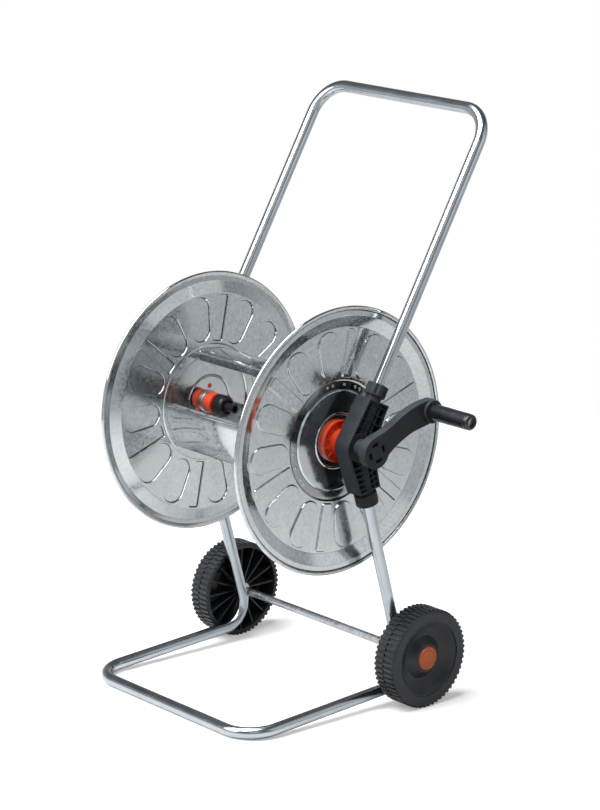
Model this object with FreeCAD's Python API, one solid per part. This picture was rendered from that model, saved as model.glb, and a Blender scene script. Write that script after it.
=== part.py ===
import FreeCAD, Part
import math
import os

# Garden hose reel cart, millimetres.
# X is the reel axis with the crank on +X, -Y is the front, +Y the wheels, +Z up.
# The origin is on the floor, below the reel axis, midway between the two discs.

V = FreeCAD.Vector
CENTRE = V(0, 0, 0)
X_AXIS = V(1, 0, 0)

# ---- driving dimensions: frame ----
REEL_Z = 412.0  # height of the reel axis
SIDE_X = 181.0  # centre lines of the side tubes
TUBE_R = 9.0
TUBE_WALL = 1.5
HANDLE_LEAN = 29.4  # degrees back from upright
HANDLE_TOP_Z = 873.0
LEG_LEAN = 16.6
LEG_BACK = 3.0  # that the leg's line passes behind the reel axis
FRONT_Y = -192.0
FLOOR_RISE = 3.2  # degrees that the floor bars climb towards the wheels
BEND_R = 50.0
REAR_BEND_R = 38.0
TUBE_END = 27.0  # from the reel axis to the start of a tube in its socket

# ---- driving dimensions: axle and wheels ----
WHEEL_R = 75.5
AXLE_Y = 115.5
AXLE_R = 6.0
AXLE_HALF = 223.0
WHEEL_IN = 192.3
WHEEL_OUT = 232.4
WHEEL_RIBS = 16
RECESS_X = 218.0  # bottom of the recess in a wheel's hub
RECESS_R = 18.0

# ---- driving dimensions: reel ----
DISC_R = 200.0
FIELD_X = 144.8  # outer face of the disc's flat field
SHEET = 1.0
EMBOSS = 2.6
DRUM_R = 86.0
PLATE_HALF_ANGLE = 26.0
PLATE_LIP = 15.0
PLATE_ANGLES = (80.0, 200.0, 320.0)
SPOKE_STEP = 60.0
HUB_X = FIELD_X + 0.8  # outer face of the disc's centre
JOURNAL_R = 11.5
PEG_RING_R = 24.4
PEG_ANGLES = (85.0, 205.0, 325.0)

# ---- driving dimensions: brackets and clamp nuts ----
BRACKET_IN = 165.0
BRACKET_OUT = 194.5
HANDLE_ARM = 70.5  # length of an arm at its front, from the reel axis
LEG_ARM = 71.5
ARM_SLANT = 3.0  # that an arm is longer at its back
SKIN = 3.0
NUT_START = 78.0  # along a tube, from the reel axis
NUT_LENGTH = 18.0
HANDLE_NUT_R = 15.8
LEG_NUT_R = 17.0
NOSE_R = 12.2  # the socket round a tube, which ends inside the nut
COLLET_R = 10.6

# ---- driving dimensions: crank and grip ----
CRANK_IN = 217.0
CRANK_OUT = 232.0
CRANK_HUB_R = 24.0
CRANK_NECK_R = 13.5
GRIP_Y = 106.8
GRIP_Z = 44.5  # above the reel axis
GRIP_R = 12.3
GRIP_END = 314.0
BOSS_R = 18.0
BOSS_X = 236.0
PIN_R = 5.0
PIN_HEAD_R = 7.0
PIN_HEAD_X = GRIP_END - 9.5
PIN_DEPTH = 12.0  # of the grip's pin in the crank, from its outer face

# ---- driving dimensions: water fittings ----
INLET_R = 8.0
SPIGOT_R = 9.0  # the inlet, where it turns in the hub
OUTLET_R = 10.0  # the outlet, where it sits in the hub
PASSAGE_R = 4.5
TAIL_R = 7.2
TAIL_ROOT_R = 7.6  # the tail's thicker part, inside the connector and its nut
SLEEVE_STROKE = 3.0

RUN_FIT = 0.06  # radial clearance of a turning fit
SLIP = 0.3  # gap between parts that turn past each other
EASE = 0.05  # gap between fixed parts that fit together


def reel_point(x, y=0.0, z=0.0):
    """A point given from the reel axis."""
    return V(x, y, REEL_Z + z)


def rod(r, x0, x1, y=0.0, z=REEL_Z):
    """A cylinder along X from x0 to x1."""
    return Part.makeCylinder(r, x1 - x0, V(x0, y, z), X_AXIS)


def ring(r_out, r_in, x0, x1, y=0.0, z=REEL_Z):
    return rod(r_out, x0, x1, y, z).cut(rod(r_in, x0 - 1, x1 + 1, y, z))


def turned(profile, y=0.0, z=REEL_Z):
    """A solid turned about X from closed (x, radius) points."""
    points = [V(x, y, z + r) for x, r in profile]
    face = Part.Face(Part.makePolygon(points + points[:1]))
    return face.revolve(V(0, y, z), X_AXIS, 360)


def turn_x(shape, degrees, y=0.0, z=REEL_Z):
    """A copy turned about X, positive from +Y towards +Z."""
    copy = shape.copy()
    copy.rotate(V(0, y, z), X_AXIS, degrees)
    return copy


def fuse(shapes):
    return shapes[0].multiFuse(shapes[1:]).removeSplitter()


def group(shapes):
    """Separate solids that share one node."""
    return Part.makeCompound(shapes)


def mirrored(shape):
    """The same piece on the other side of the cart."""
    return shape.mirror(CENTRE, X_AXIS)


def polar(r, degrees):
    """Y and Z at a radius and an angle, from +Y towards +Z."""
    a = math.radians(degrees)
    return r * math.cos(a), r * math.sin(a)


# ---- frame tubes ----

def bent_wire(corners, radii):
    """A wire through the corners, with each inner corner rounded."""
    edges = []
    start = corners[0]
    for i, radius in enumerate(radii):
        corner = corners[i + 1]
        back = (corners[i] - corner).normalize()
        on = (corners[i + 2] - corner).normalize()
        half = back.getAngle(on) / 2
        reach = radius / math.tan(half)
        to_centre = (back + on).normalize()
        a = corner + back * reach
        b = corner + on * reach
        mid = corner + to_centre * (radius / math.sin(half) - radius)
        edges.append(Part.LineSegment(start, a).toShape())
        edges.append(Part.Arc(a, mid, b).toShape())
        start = b
    edges.append(Part.LineSegment(start, corners[-1]).toShape())
    return Part.Wire(edges)


def pipe(wire, start, direction, r):
    circle = Part.Circle(start, direction, r)
    section = Part.Wire(circle.toShape())
    return wire.makePipeShell([section], True, False)


def bent_tube(corners, radii):
    wire = bent_wire(corners, radii)
    direction = corners[1] - corners[0]
    outer = pipe(wire, corners[0], direction, TUBE_R)
    inner = pipe(wire, corners[0], direction, TUBE_R - TUBE_WALL)
    return outer.cut(inner)


def arm_axis(lean, up):
    """Unit vector from the reel axis along a bracket's arm."""
    a = math.radians(lean)
    return V(0, math.sin(a), math.cos(a) if up else -math.cos(a))


HANDLE_DIR = arm_axis(HANDLE_LEAN, True)
LEG_DIR = arm_axis(LEG_LEAN, False)


def along(direction, distance, x=SIDE_X):
    """A point on a side tube's centre line, measured from level with the reel axis."""
    back = LEG_BACK if direction.z < 0 else 0
    return reel_point(x, back) + direction * distance


def handle_frame():
    rise = HANDLE_TOP_Z - REEL_Z
    top = rise / HANDLE_DIR.z
    corners = [along(HANDLE_DIR, TUBE_END), along(HANDLE_DIR, top),
               along(HANDLE_DIR, top, -SIDE_X), along(HANDLE_DIR, TUBE_END, -SIDE_X)]
    return bent_tube(corners, [BEND_R, BEND_R])


def rear_corner():
    """Distance down the leg at which its line crosses the floor bar's."""
    slope = math.tan(math.radians(FLOOR_RISE))
    drop = REEL_Z - TUBE_R - slope * (LEG_BACK - FRONT_Y)
    return drop / (slope * LEG_DIR.y - LEG_DIR.z)


def lower_frame():
    """One loop: down a leg, forward on the floor, across the front and back."""
    reach = rear_corner()
    corners = [along(LEG_DIR, TUBE_END), along(LEG_DIR, reach),
               V(SIDE_X, FRONT_Y, TUBE_R), V(-SIDE_X, FRONT_Y, TUBE_R),
               along(LEG_DIR, reach, -SIDE_X), along(LEG_DIR, TUBE_END, -SIDE_X)]
    loop = bent_tube(corners, [REAR_BEND_R, BEND_R, BEND_R, REAR_BEND_R])
    saddle = rod(AXLE_R + EASE, -AXLE_HALF, AXLE_HALF, AXLE_Y, WHEEL_R)
    return loop.cut(saddle)


# ---- axle ----

def axle_rod():
    bar = rod(AXLE_R, -AXLE_HALF, AXLE_HALF, AXLE_Y, WHEEL_R)
    ends = [e for e in bar.Edges if e.Curve.TypeId == "Part::GeomCircle"]
    return bar.makeChamfer(1.0, ends)


def axle_welds():
    """Beads above and below the rod where it lies in each leg's saddle."""
    bead_r = 2.0
    half_length = 4.5
    seat_above, seat_below = (4.4, 5.0), (1.6, -6.6)
    rod_bar = rod(AXLE_R, -AXLE_HALF, AXLE_HALF, AXLE_Y, WHEEL_R)
    beads = []
    for forward, up in (seat_above, seat_below):
        y, z = AXLE_Y - forward, WHEEL_R + up
        bead = rod(bead_r, SIDE_X - half_length, SIDE_X + half_length, y, z)
        leg = tube_core(LEG_DIR, TUBE_R)
        bead = bead.cut(leg).cut(rod_bar).cut(rear_bend_core())
        beads += [bead, mirrored(bead)]
    return group(beads)


def tube_core(direction, r):
    """The solid outline of a side tube's straight run, on the right."""
    return Part.makeCylinder(r, REEL_Z, along(direction, 0), direction)


def rear_bend_core():
    """The solid outline of the right-hand rear bend and its straight runs."""
    reach = rear_corner()
    corners = [along(LEG_DIR, TUBE_END), along(LEG_DIR, reach),
               V(SIDE_X, FRONT_Y / 2, TUBE_R)]
    wire = bent_wire(corners, [REAR_BEND_R])
    return pipe(wire, corners[0], LEG_DIR, TUBE_R)


def axle_washers():
    washer = ring(11.0, AXLE_R + EASE, SIDE_X + TUBE_R + SLIP, WHEEL_IN - SLIP,
                  AXLE_Y, WHEEL_R)
    return group([washer, mirrored(washer)])


def axle_push_nuts():
    """Spring-steel caps pressed on the axle ends, in the wheels' hub recess."""
    start = RECESS_X + 1.0
    hole_r = AXLE_R + EASE
    collar = ring(9.0, hole_r, start, start + 1.0, AXLE_Y, WHEEL_R)
    dome = ring(7.0, hole_r, start + 0.9, start + 3.0, AXLE_Y, WHEEL_R)
    nut = fuse([collar, dome])
    return group([nut, mirrored(nut)])


# ---- wheels ----

HUB_TUBE_R = 14.0
RIM_INNER_R = 67.5


def wheel_section():
    """The wheel without its inner hollow: face, dished web and hub boss."""
    return [(WHEEL_IN, AXLE_R + RUN_FIT), (WHEEL_IN, HUB_TUBE_R), (WHEEL_IN + 1, RIM_INNER_R),
            (WHEEL_IN + 1, 73.0), (WHEEL_IN + 3, WHEEL_R), (WHEEL_OUT - 3, WHEEL_R),
            (WHEEL_OUT, 71.0), (WHEEL_OUT, 57.5), (WHEEL_OUT - 1.5, 56.0),
            (WHEEL_OUT - 14.5, 36.0), (WHEEL_OUT - 14.5, 33.0), (WHEEL_OUT - 5, 19.5),
            (WHEEL_OUT - 5, RECESS_R), (RECESS_X, RECESS_R), (RECESS_X, AXLE_R + RUN_FIT)]


def wheel_hollow():
    """The ring-shaped hollow on the inner side, between hub tube and rim."""
    return [(WHEEL_IN - 1, HUB_TUBE_R), (WHEEL_OUT - 18.5, HUB_TUBE_R),
            (WHEEL_OUT - 18.5, 37.5), (WHEEL_OUT - 4.5, 58.5), (WHEEL_OUT - 4.5, RIM_INNER_R),
            (WHEEL_IN - 1, RIM_INNER_R)]


def wheel():
    body = turned(wheel_section(), AXLE_Y, WHEEL_R)
    hollow = turned(wheel_hollow(), AXLE_Y, WHEEL_R)
    rib_thick, rib_back = 2.4, 4.0
    rib_length = RIM_INNER_R + 1
    ribs = []
    for i in range(WHEEL_RIBS):
        rib = Part.makeBox(WHEEL_OUT - WHEEL_IN, rib_length, rib_thick,
                           V(WHEEL_IN + rib_back, AXLE_Y, WHEEL_R - rib_thick / 2))
        ribs.append(turn_x(rib, i * 360 / WHEEL_RIBS, AXLE_Y, WHEEL_R))
    keep = hollow.common(ribs[0].multiFuse(ribs[1:]))
    return body.cut(hollow.cut(keep)).removeSplitter()


def wheel_cap():
    """Domed cap clipped into the hub recess, clear of the axle's end."""
    outer_r = RECESS_R - 2 * EASE
    return turned([(RECESS_X + EASE, 14.5), (RECESS_X + EASE, outer_r), (WHEEL_OUT - 3.0, outer_r),
                   (WHEEL_OUT - 1.6, 16.4), (WHEEL_OUT - 1.2, 9.0), (WHEEL_OUT - 1.0, 0),
                   (WHEEL_OUT - 3.4, 0), (WHEEL_OUT - 3.8, 14.5)], AXLE_Y, WHEEL_R)


# ---- reel discs ----

def disc_profile():
    """Outer face of the pressed sheet: radius and offset from the flat field."""
    return [(16.0, 0.8), (38.0, 0.8), (39.2, 2.0), (41.0, 2.0), (42.2, 0.8), (74.0, 0.8),
            (76.0, -1.5), (88.0, -1.5), (90.5, 0.0), (168.0, 0.0), (186.0, 7.2),
            (195.0, 7.2)]


def disc_sheet():
    outer = [(FIELD_X + dx, r) for r, dx in disc_profile()]
    inner = [(x - SHEET, r) for x, r in reversed(outer)]
    bead_r = 3.0
    bead_x = FIELD_X + 6.7
    bead = Part.makeTorus(DISC_R - bead_r, bead_r, reel_point(bead_x), X_AXIS)
    return turned(outer + inner).fuse(bead)


def stadium_wire(x, grow):
    """Tapered slot outline lying at one X: two arcs and two straight sides."""
    r_near, r_far = 112.5, 145.0
    near, far = 16.5 + grow, 19.0 + grow
    tilt = math.asin((far - near) / (r_far - r_near))
    c, s = math.cos(tilt), math.sin(tilt)

    def at(centre, radius, cy, cz):
        return reel_point(x, centre + radius * cy, radius * cz)

    a, b = at(r_near, near, -s, c), at(r_far, far, -s, c)
    e, d = at(r_near, near, -s, -c), at(r_far, far, -s, -c)
    edges = [Part.LineSegment(a, b).toShape(), Part.Arc(b, at(r_far, far, 1, 0), d).toShape(),
             Part.LineSegment(d, e).toShape(), Part.Arc(e, at(r_near, near, -1, 0), a).toShape()]
    return Part.Wire(edges)


def spoke_wire(x, grow):
    """Straight radial rib outline lying at one X."""
    y0, y1, half = 93.5 - grow, 166.0 + grow, 8.2 + grow
    corners = [reel_point(x, y0, -half), reel_point(x, y1, -half),
               reel_point(x, y1, half), reel_point(x, y0, half)]
    return Part.makePolygon(corners + corners[:1])


def pressing(outline, x0, x1, drop):
    """A raised pad with sloping sides; drop lowers it by the sheet's thickness."""
    slope = 0.7
    foot = outline(x0 - drop, slope * (FIELD_X + EMBOSS - x0))
    crown = outline(x1 - drop, slope * (FIELD_X + EMBOSS - x1))
    return Part.makeLoft([foot, crown], True, True)


def emboss_angles():
    """Each outline with the angles at which it is pressed."""
    pair_half = 12.3
    spokes = [(spoke_wire, 80.0 + SPOKE_STEP * k) for k in range(6)]
    slots = [(stadium_wire, 110.0 + SPOKE_STEP * k + side * pair_half)
             for k in range(6) for side in (-1, 1)]
    return spokes + slots


def rivet_spots():
    """Y and Z, from the reel axis, of the studs that hold the drum plates."""
    ring_r = 82.5
    offsets = (-22.5, -15.5, 0.0, 15.5, 22.5)
    return [polar(ring_r, a + d) for a in PLATE_ANGLES for d in offsets]


RIVET_R = 1.4
PEG_R = 2.5


def disc():
    pads, pockets = [], []
    for outline, angle in emboss_angles():
        pads.append(turn_x(pressing(outline, FIELD_X - SHEET / 2, FIELD_X + EMBOSS, 0), angle))
        pockets.append(turn_x(pressing(outline, FIELD_X, FIELD_X + EMBOSS, SHEET), angle))
    spots = [(RIVET_R, spot) for spot in rivet_spots()]
    spots += [(PEG_R, polar(PEG_RING_R, angle)) for angle in PEG_ANGLES]
    holes = [rod(r, FIELD_X - 5, FIELD_X + 5, y, REEL_Z + z) for r, (y, z) in spots]
    sheet = disc_sheet().multiFuse(pads)
    return sheet.cut(Part.makeCompound(pockets)).cut(Part.makeCompound(holes))


# ---- drum ----

PLATE_X = FIELD_X - 1.5 - SHEET  # where a drum plate meets the disc's inner face


def sector(r_out, r_in, x0, x1, half_angle):
    """Part of a ring about the reel axis, centred on +Y."""
    wedge = Part.makeCylinder(r_out, x1 - x0, reel_point(x0), X_AXIS, 2 * half_angle)
    piece = wedge.cut(rod(r_in, x0 - 1, x1 + 1))
    centre = piece.Solids[0].CenterOfMass
    aim = math.degrees(math.atan2(centre.z - REEL_Z, centre.y))
    return turn_x(piece, -aim)


def drum_plate(angle):
    """Curved sheet with lips along its long sides and a tab at each disc."""
    skin = sector(DRUM_R, DRUM_R - SHEET, -PLATE_X, PLATE_X, PLATE_HALF_ANGLE)
    lips = []
    for side in (-1, 1):
        z0 = 0 if side < 0 else -SHEET
        lip = Part.makeBox(2 * PLATE_X, PLATE_LIP, SHEET,
                           reel_point(-PLATE_X, DRUM_R - SHEET / 2 - PLATE_LIP, z0))
        lips.append(turn_x(lip, side * PLATE_HALF_ANGLE))
    tab = sector(DRUM_R - SHEET / 2, 77.5, PLATE_X - SHEET, PLATE_X, PLATE_HALF_ANGLE)
    plate = fuse([skin, tab, mirrored(tab)] + lips)
    plate = turn_x(plate, angle)
    holes = [rod(RIVET_R, -FIELD_X, FIELD_X, y, REEL_Z + z) for y, z in rivet_spots()]
    return plate.cut(Part.makeCompound(holes))


def plate_rivets():
    """Studs through each plate tab and the disc, headed on both sides."""
    head_r, head = 2.3, 0.7
    inner, outer = PLATE_X - SHEET, PLATE_X + SHEET
    studs = []
    for y, z in rivet_spots():
        parts = [rod(RIVET_R, inner - head, outer + head, y, REEL_Z + z),
                 rod(head_r, inner - head, inner, y, REEL_Z + z),
                 rod(head_r, outer, outer + head, y, REEL_Z + z)]
        stud = fuse(parts)
        studs += [stud, mirrored(stud)]
    return group(studs)


# ---- hubs ----

FLANGE_R = 31.5
SHOULDER_R = 19.0
DISH_RIBS = 12
CRANK_SOCKET = 16.0  # across the flats of the crank's square drive
DRIVE_R = 10.8  # to the trimmed corners of that drive


def hub_body(core_r):
    """Flanged hub: ribbed dish on the disc, thrust shoulder and journal."""
    flange_x = HUB_X + 2.5
    profile = [(HUB_X - SHEET, core_r), (HUB_X - SHEET, 15.9), (HUB_X, 15.9),
               (HUB_X, FLANGE_R), (flange_x + 4, FLANGE_R), (flange_x + 4, 29.0),
               (flange_x, 28.4), (flange_x, SHOULDER_R + 1), (flange_x + 2, SHOULDER_R),
               (BRACKET_IN - SLIP, SHOULDER_R), (BRACKET_IN - SLIP, JOURNAL_R),
               (BRACKET_OUT + SLIP, JOURNAL_R), (BRACKET_OUT + SLIP, core_r)]
    pieces = [turned(profile)]
    rib_height, rib_length, rib_thick = 3.4, 11.0, 2.0
    for k in range(DISH_RIBS):
        corner = reel_point(flange_x - 0.2, SHOULDER_R - 1, -rib_thick / 2)
        rib = Part.makeBox(rib_height, rib_length, rib_thick, corner)
        pieces.append(turn_x(rib, (k + 0.5) * 360 / DISH_RIBS))
    for angle in PEG_ANGLES:
        y, z = polar(PEG_RING_R, angle)
        pieces.append(rod(PEG_R, HUB_X - SHEET, HUB_X + 1, y, REEL_Z + z))
        pieces.append(rod(3.7, HUB_X - SHEET - 1.2, HUB_X - SHEET, y, REEL_Z + z))
    return fuse(pieces)


def hub_right():
    """Driven hub: solid end with a square drive for the crank."""
    body = hub_body(7.0)
    half = CRANK_SOCKET / 2
    drive_x = BRACKET_OUT - 8
    drive = Part.makeBox(CRANK_OUT - 5.5 - drive_x, 2 * half, 2 * half,
                         reel_point(drive_x, -half, -half))
    corner_trim = rod(DRIVE_R, drive_x, CRANK_OUT)
    return fuse([body, drive.common(corner_trim)])


SOCKET_END = 152.0  # depth of the outlet's socket, from mid-plane
INLET_END = 158.0  # inner end of the inlet's spigot


def hub_left():
    """Hollow hub: inlet bore outside, outlet socket inside, water way between."""
    body = hub_body(PASSAGE_R)
    inlet_bore = rod(SPIGOT_R + RUN_FIT, INLET_END - SLIP, BRACKET_OUT + 2)
    outlet_socket = rod(OUTLET_R + EASE, HUB_X - 3, SOCKET_END)
    return mirrored(body.cut(inlet_bore).cut(outlet_socket))


# ---- brackets ----

def arm_point(direction, distance, offset):
    """A point beside a tube's centre line; offset grows towards the back."""
    across = V(0, abs(direction.z), -direction.y * (1 if direction.z > 0 else -1))
    return along(direction, distance, BRACKET_IN) + across * offset


def bracket_outline():
    """Elbow seen along X: rounded front, square arm ends, hollow back."""
    elbow, hollow = reel_point(BRACKET_IN, -25.5, 1.5), reel_point(BRACKET_IN, 37.0, -4.0)
    elbow_r = 25.0
    top_front = arm_point(HANDLE_DIR, HANDLE_ARM, -17.8)
    top_back = arm_point(HANDLE_DIR, HANDLE_ARM + ARM_SLANT, 24.0)
    low_front = arm_point(LEG_DIR, LEG_ARM, -20.0)
    low_back = arm_point(LEG_DIR, LEG_ARM + ARM_SLANT, 20.5)
    front = bent_wire([top_front, elbow, low_front], [elbow_r])
    back = Part.Arc(low_back, hollow, top_back).toShape()
    ends = [Part.LineSegment(low_front, low_back).toShape(),
            Part.LineSegment(top_back, top_front).toShape()]
    return Part.Wire(Part.__sortEdges__(front.Edges + [back] + ends))


HUB_BOSS_R = 22.0  # round the journal, cut off by the bracket's front
WEB = 4.0  # thickness of the bracket's inner wall, towards the disc
NOSE_END_AT = NUT_START + NUT_LENGTH - 4.6  # along a tube
COLLET_START = NUT_START - 1.0


def arm_solid(direction, r, start, end):
    return Part.makeCylinder(r, end - start, along(direction, start), direction)


def lattice():
    """Ribs that stiffen the open outer side of both arms."""
    rib, first, reach = 2.0, 28.0, 30.0
    depth = BRACKET_OUT - BRACKET_IN - WEB
    handle_plan = (HANDLE_DIR, 12.5, 4, (-8.0, 10.0))
    leg_plan = (LEG_DIR, 9.0, 5, (-11.0, 6.0))
    ribs = []
    for direction, pitch, count, offsets in (handle_plan, leg_plan):
        bars = [Part.makeBox(depth, 2 * reach, rib, V(0, -reach, first + pitch * k))
                for k in range(count)]
        bars += [Part.makeBox(depth, rib, 2 * first, V(0, offset, first - 8.0))
                 for offset in offsets]
        frame = FreeCAD.Placement(along(direction, 0, BRACKET_IN + WEB),
                                  FreeCAD.Rotation(X_AXIS, CENTRE, direction, "XZY"))
        for bar in bars:
            bar.Placement = frame
        ribs += bars
    return ribs


def bracket():
    outline = bracket_outline()
    block = Part.Face(outline).extrude(X_AXIS * (BRACKET_OUT - BRACKET_IN))
    pocket = Part.Face(outline).makeOffset2D(-SKIN)
    pocket = pocket.extrude(X_AXIS * (BRACKET_OUT - BRACKET_IN))
    pocket.translate(X_AXIS * WEB)
    inside = [r.common(pocket) for r in lattice()]
    boss = rod(HUB_BOSS_R, BRACKET_IN, BRACKET_OUT).common(block)
    sockets = [arm_solid(d, NOSE_R, TUBE_END - 6, NOSE_END_AT) for d in (HANDLE_DIR, LEG_DIR)]
    whole = fuse([block.cut(pocket), boss] + sockets + inside)
    for direction in (HANDLE_DIR, LEG_DIR):
        whole = whole.cut(arm_solid(direction, TUBE_R + EASE, TUBE_END - 1, NOSE_END_AT + 1))
        whole = whole.cut(arm_solid(direction, COLLET_R + EASE, COLLET_START - EASE,
                                    NOSE_END_AT + 1))
    whole = whole.cut(rod(JOURNAL_R + RUN_FIT, BRACKET_IN - 1, BRACKET_OUT + 1))
    return whole.removeSplitter()


def clamp_nut(direction, r, grooves, groove_r, depth):
    """Hand nut that squeezes the split collet onto a tube."""
    end = NUT_START + NUT_LENGTH
    nut = arm_solid(direction, r, NUT_START, end)
    rims = [e for e in nut.Edges if e.Curve.TypeId == "Part::GeomCircle"]
    nut = nut.makeChamfer(1.0, rims)
    nut = nut.cut(arm_solid(direction, NOSE_R + EASE, NUT_START - 1, end - 4))
    nut = nut.cut(arm_solid(direction, TUBE_R + EASE, NUT_START, end + 1))
    cutters = []
    for k in range(grooves):
        cutter = arm_solid(direction, groove_r, NUT_START + 2, end + 1)
        cutter.translate(X_AXIS * (r + groove_r - depth))
        cutter.rotate(along(direction, 0), direction, 360 * (k + 0.5) / grooves)
        cutters.append(cutter)
    return nut.cut(Part.makeCompound(cutters))


def clamp_collets():
    """Split rings between tube and bracket nose, one for each clamp nut."""
    rings = []
    end = NOSE_END_AT - 0.4
    for direction in (HANDLE_DIR, LEG_DIR):
        collet = arm_solid(direction, COLLET_R, COLLET_START, end)
        collet = collet.cut(arm_solid(direction, TUBE_R + EASE, COLLET_START - 1, end + 1))
        slit = Part.makeBox(14.0, 1.6, 120.0, V(0, -0.8, 0))
        slit.Placement = FreeCAD.Placement(along(direction, 0),
                                           FreeCAD.Rotation(X_AXIS, CENTRE, direction, "XZY"))
        collet = collet.cut(slit)
        rings += [collet, mirrored(collet)]
    return group(rings)


# ---- crank ----

def crank_outline(x):
    """Gently curved arm from the hub to the grip boss, as seen along X."""
    upper = [(-4, 23.7), (14, 29.2), (31, 37.3), (50, 47.4), (69, 55.5), (89, 60.5),
             (GRIP_Y, GRIP_Z + BOSS_R)]
    lower = [(17.5, -16.0), (25, -5.8), (37.5, 3.2), (56, 13.2), (75, 20.2),
             (GRIP_Y, GRIP_Z - BOSS_R)]

    def curve(points):
        spline = Part.BSplineCurve()
        spline.interpolate([reel_point(x, y, z) for y, z in points])
        return spline.toShape()

    top, bottom = curve(upper), curve(lower)
    nose = Part.Arc(reel_point(x, GRIP_Y, GRIP_Z + BOSS_R),
                    reel_point(x, GRIP_Y + BOSS_R, GRIP_Z),
                    reel_point(x, GRIP_Y, GRIP_Z - BOSS_R)).toShape()
    root = Part.LineSegment(reel_point(x, *lower[0]), reel_point(x, *upper[0])).toShape()
    return Part.Wire(Part.__sortEdges__([top, nose, bottom, root]))


def slot_arcs():
    """Four curved slots in the hub's face, where its catches are reached."""
    slots = []
    for k in range(4):
        slot = sector(15.0, 10.9, CRANK_OUT - 4, CRANK_OUT + 1, 23.0)
        slots.append(turn_x(slot, 18 + 90 * k))
    return slots


def crank_arm():
    blade = Part.Face(crank_outline(CRANK_IN)).extrude(X_AXIS * (CRANK_OUT - CRANK_IN))
    front = [e for e in blade.Edges
             if abs(e.BoundBox.XMin - CRANK_OUT) < 0.01 and e.Length > 60]
    blade = blade.makeFillet(1.2, front)
    hub = rod(CRANK_HUB_R, CRANK_IN, CRANK_OUT)
    rim = [e for e in hub.Edges if e.Curve.TypeId == "Part::GeomCircle"]
    hub = hub.makeFillet(1.2, rim)
    neck = rod(CRANK_NECK_R, BRACKET_OUT + 2 * SLIP, CRANK_IN + 1)
    boss = rod(BOSS_R, CRANK_IN, BOSS_X, GRIP_Y, REEL_Z + GRIP_Z)
    whole = fuse([hub, blade, neck, boss])
    half = CRANK_SOCKET / 2 + EASE
    socket = Part.makeBox(CRANK_OUT - 5 - BRACKET_OUT, 2 * half, 2 * half,
                          reel_point(BRACKET_OUT, -half, -half))
    round_trim = rod(DRIVE_R + EASE, BRACKET_OUT, CRANK_OUT)
    pin_hole = rod(PIN_R + EASE, CRANK_OUT - PIN_DEPTH, BOSS_X + 1, GRIP_Y, REEL_Z + GRIP_Z)
    whole = whole.cut(socket.common(round_trim)).cut(pin_hole)
    return whole.cut(Part.makeCompound(slot_arcs()))


def grip_pin():
    """Steel pin fixed in the crank's boss; its head keeps the grip on."""
    y, z = GRIP_Y, REEL_Z + GRIP_Z
    shank = rod(PIN_R, CRANK_OUT - PIN_DEPTH, PIN_HEAD_X + 1, y, z)
    head = rod(PIN_HEAD_R, PIN_HEAD_X, PIN_HEAD_X + 3.5, y, z)
    return fuse([shank, head])


def crank_grip():
    """Hollow grip that turns on the pin; its end is open over the pin's head."""
    y, z = GRIP_Y, REEL_Z + GRIP_Z
    start = BOSS_X + SLIP
    outer = turned([(start, 0), (start, GRIP_R - 0.6), (start + 0.8, GRIP_R),
                    (GRIP_END - 9, GRIP_R - 0.2), (GRIP_END - 8, GRIP_R - 0.8),
                    (GRIP_END - 3, GRIP_R - 1.0), (GRIP_END - 0.8, GRIP_R - 2.4),
                    (GRIP_END, GRIP_R - 4.0), (GRIP_END, 0)], y, z)
    bore = rod(PIN_R + RUN_FIT, start - 1, GRIP_END, y, z)
    head_room = rod(PIN_HEAD_R + SLIP, PIN_HEAD_X - SLIP, GRIP_END + 1, y, z)
    return outer.cut(bore).cut(head_room)


# ---- water inlet, on the left bracket ----

def seal_groove(x, r):
    """O-ring shape, also the groove that it lies in."""
    return Part.makeTorus(r, 0.8, reel_point(x), X_AXIS)


SEAL_SPOTS = (164.0, 171.0)
INLET_FLANGE_R = 22.0
INLET_SCREW_R = 1.6


def inlet_spigot():
    """Fixed water inlet: spigot in the turning hub, flange, tap-hose nose."""
    profile = [(INLET_END, PASSAGE_R), (INLET_END, SPIGOT_R - 0.8), (INLET_END + 1, SPIGOT_R),
               (BRACKET_OUT + 2, SPIGOT_R), (BRACKET_OUT + 2, INLET_FLANGE_R),
               (BRACKET_OUT + 5, INLET_FLANGE_R), (BRACKET_OUT + 5, 13.0),
               (BRACKET_OUT + 6, 12.0), (BRACKET_OUT + 9, 12.0), (BRACKET_OUT + 9, INLET_R),
               (BRACKET_OUT + 28, INLET_R), (BRACKET_OUT + 29.5, INLET_R - 1.5),
               (BRACKET_OUT + 29.5, PASSAGE_R)]
    body = turned(profile)
    skirt = ring(INLET_FLANGE_R, 16.5, BRACKET_OUT, BRACKET_OUT + 2.5)
    body = fuse([body, skirt])
    for x in SEAL_SPOTS:
        body = body.cut(seal_groove(x, SPIGOT_R - 0.75))
    return mirrored(body.cut(Part.makeCompound(inlet_screw_shanks())))


def inlet_screw_spots():
    return [polar(18.7, 90), polar(18.7, -90)]


def inlet_screw_shanks():
    return [rod(INLET_SCREW_R, BRACKET_OUT - 10, BRACKET_OUT + 5.4, y, REEL_Z + z)
            for y, z in inlet_screw_spots()]


def inlet_screws():
    """Two small screws through the inlet's flange into the left bracket."""
    screws = []
    for shank, (y, z) in zip(inlet_screw_shanks(), inlet_screw_spots()):
        head = rod(3.0, BRACKET_OUT + 5, BRACKET_OUT + 7.2, y, REEL_Z + z)
        slot = Part.makeBox(1.0, 0.8, 8.0, V(BRACKET_OUT + 6.5, y - 0.4, REEL_Z + z - 4))
        screws.append(mirrored(shank.fuse(head).removeSplitter().cut(slot)))
    return group(screws)


def inlet_seals():
    return group([mirrored(seal_groove(x, SPIGOT_R - 0.75)) for x in SEAL_SPOTS])


# ---- hose outlet and connector, inside the drum on the left disc ----

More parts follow.
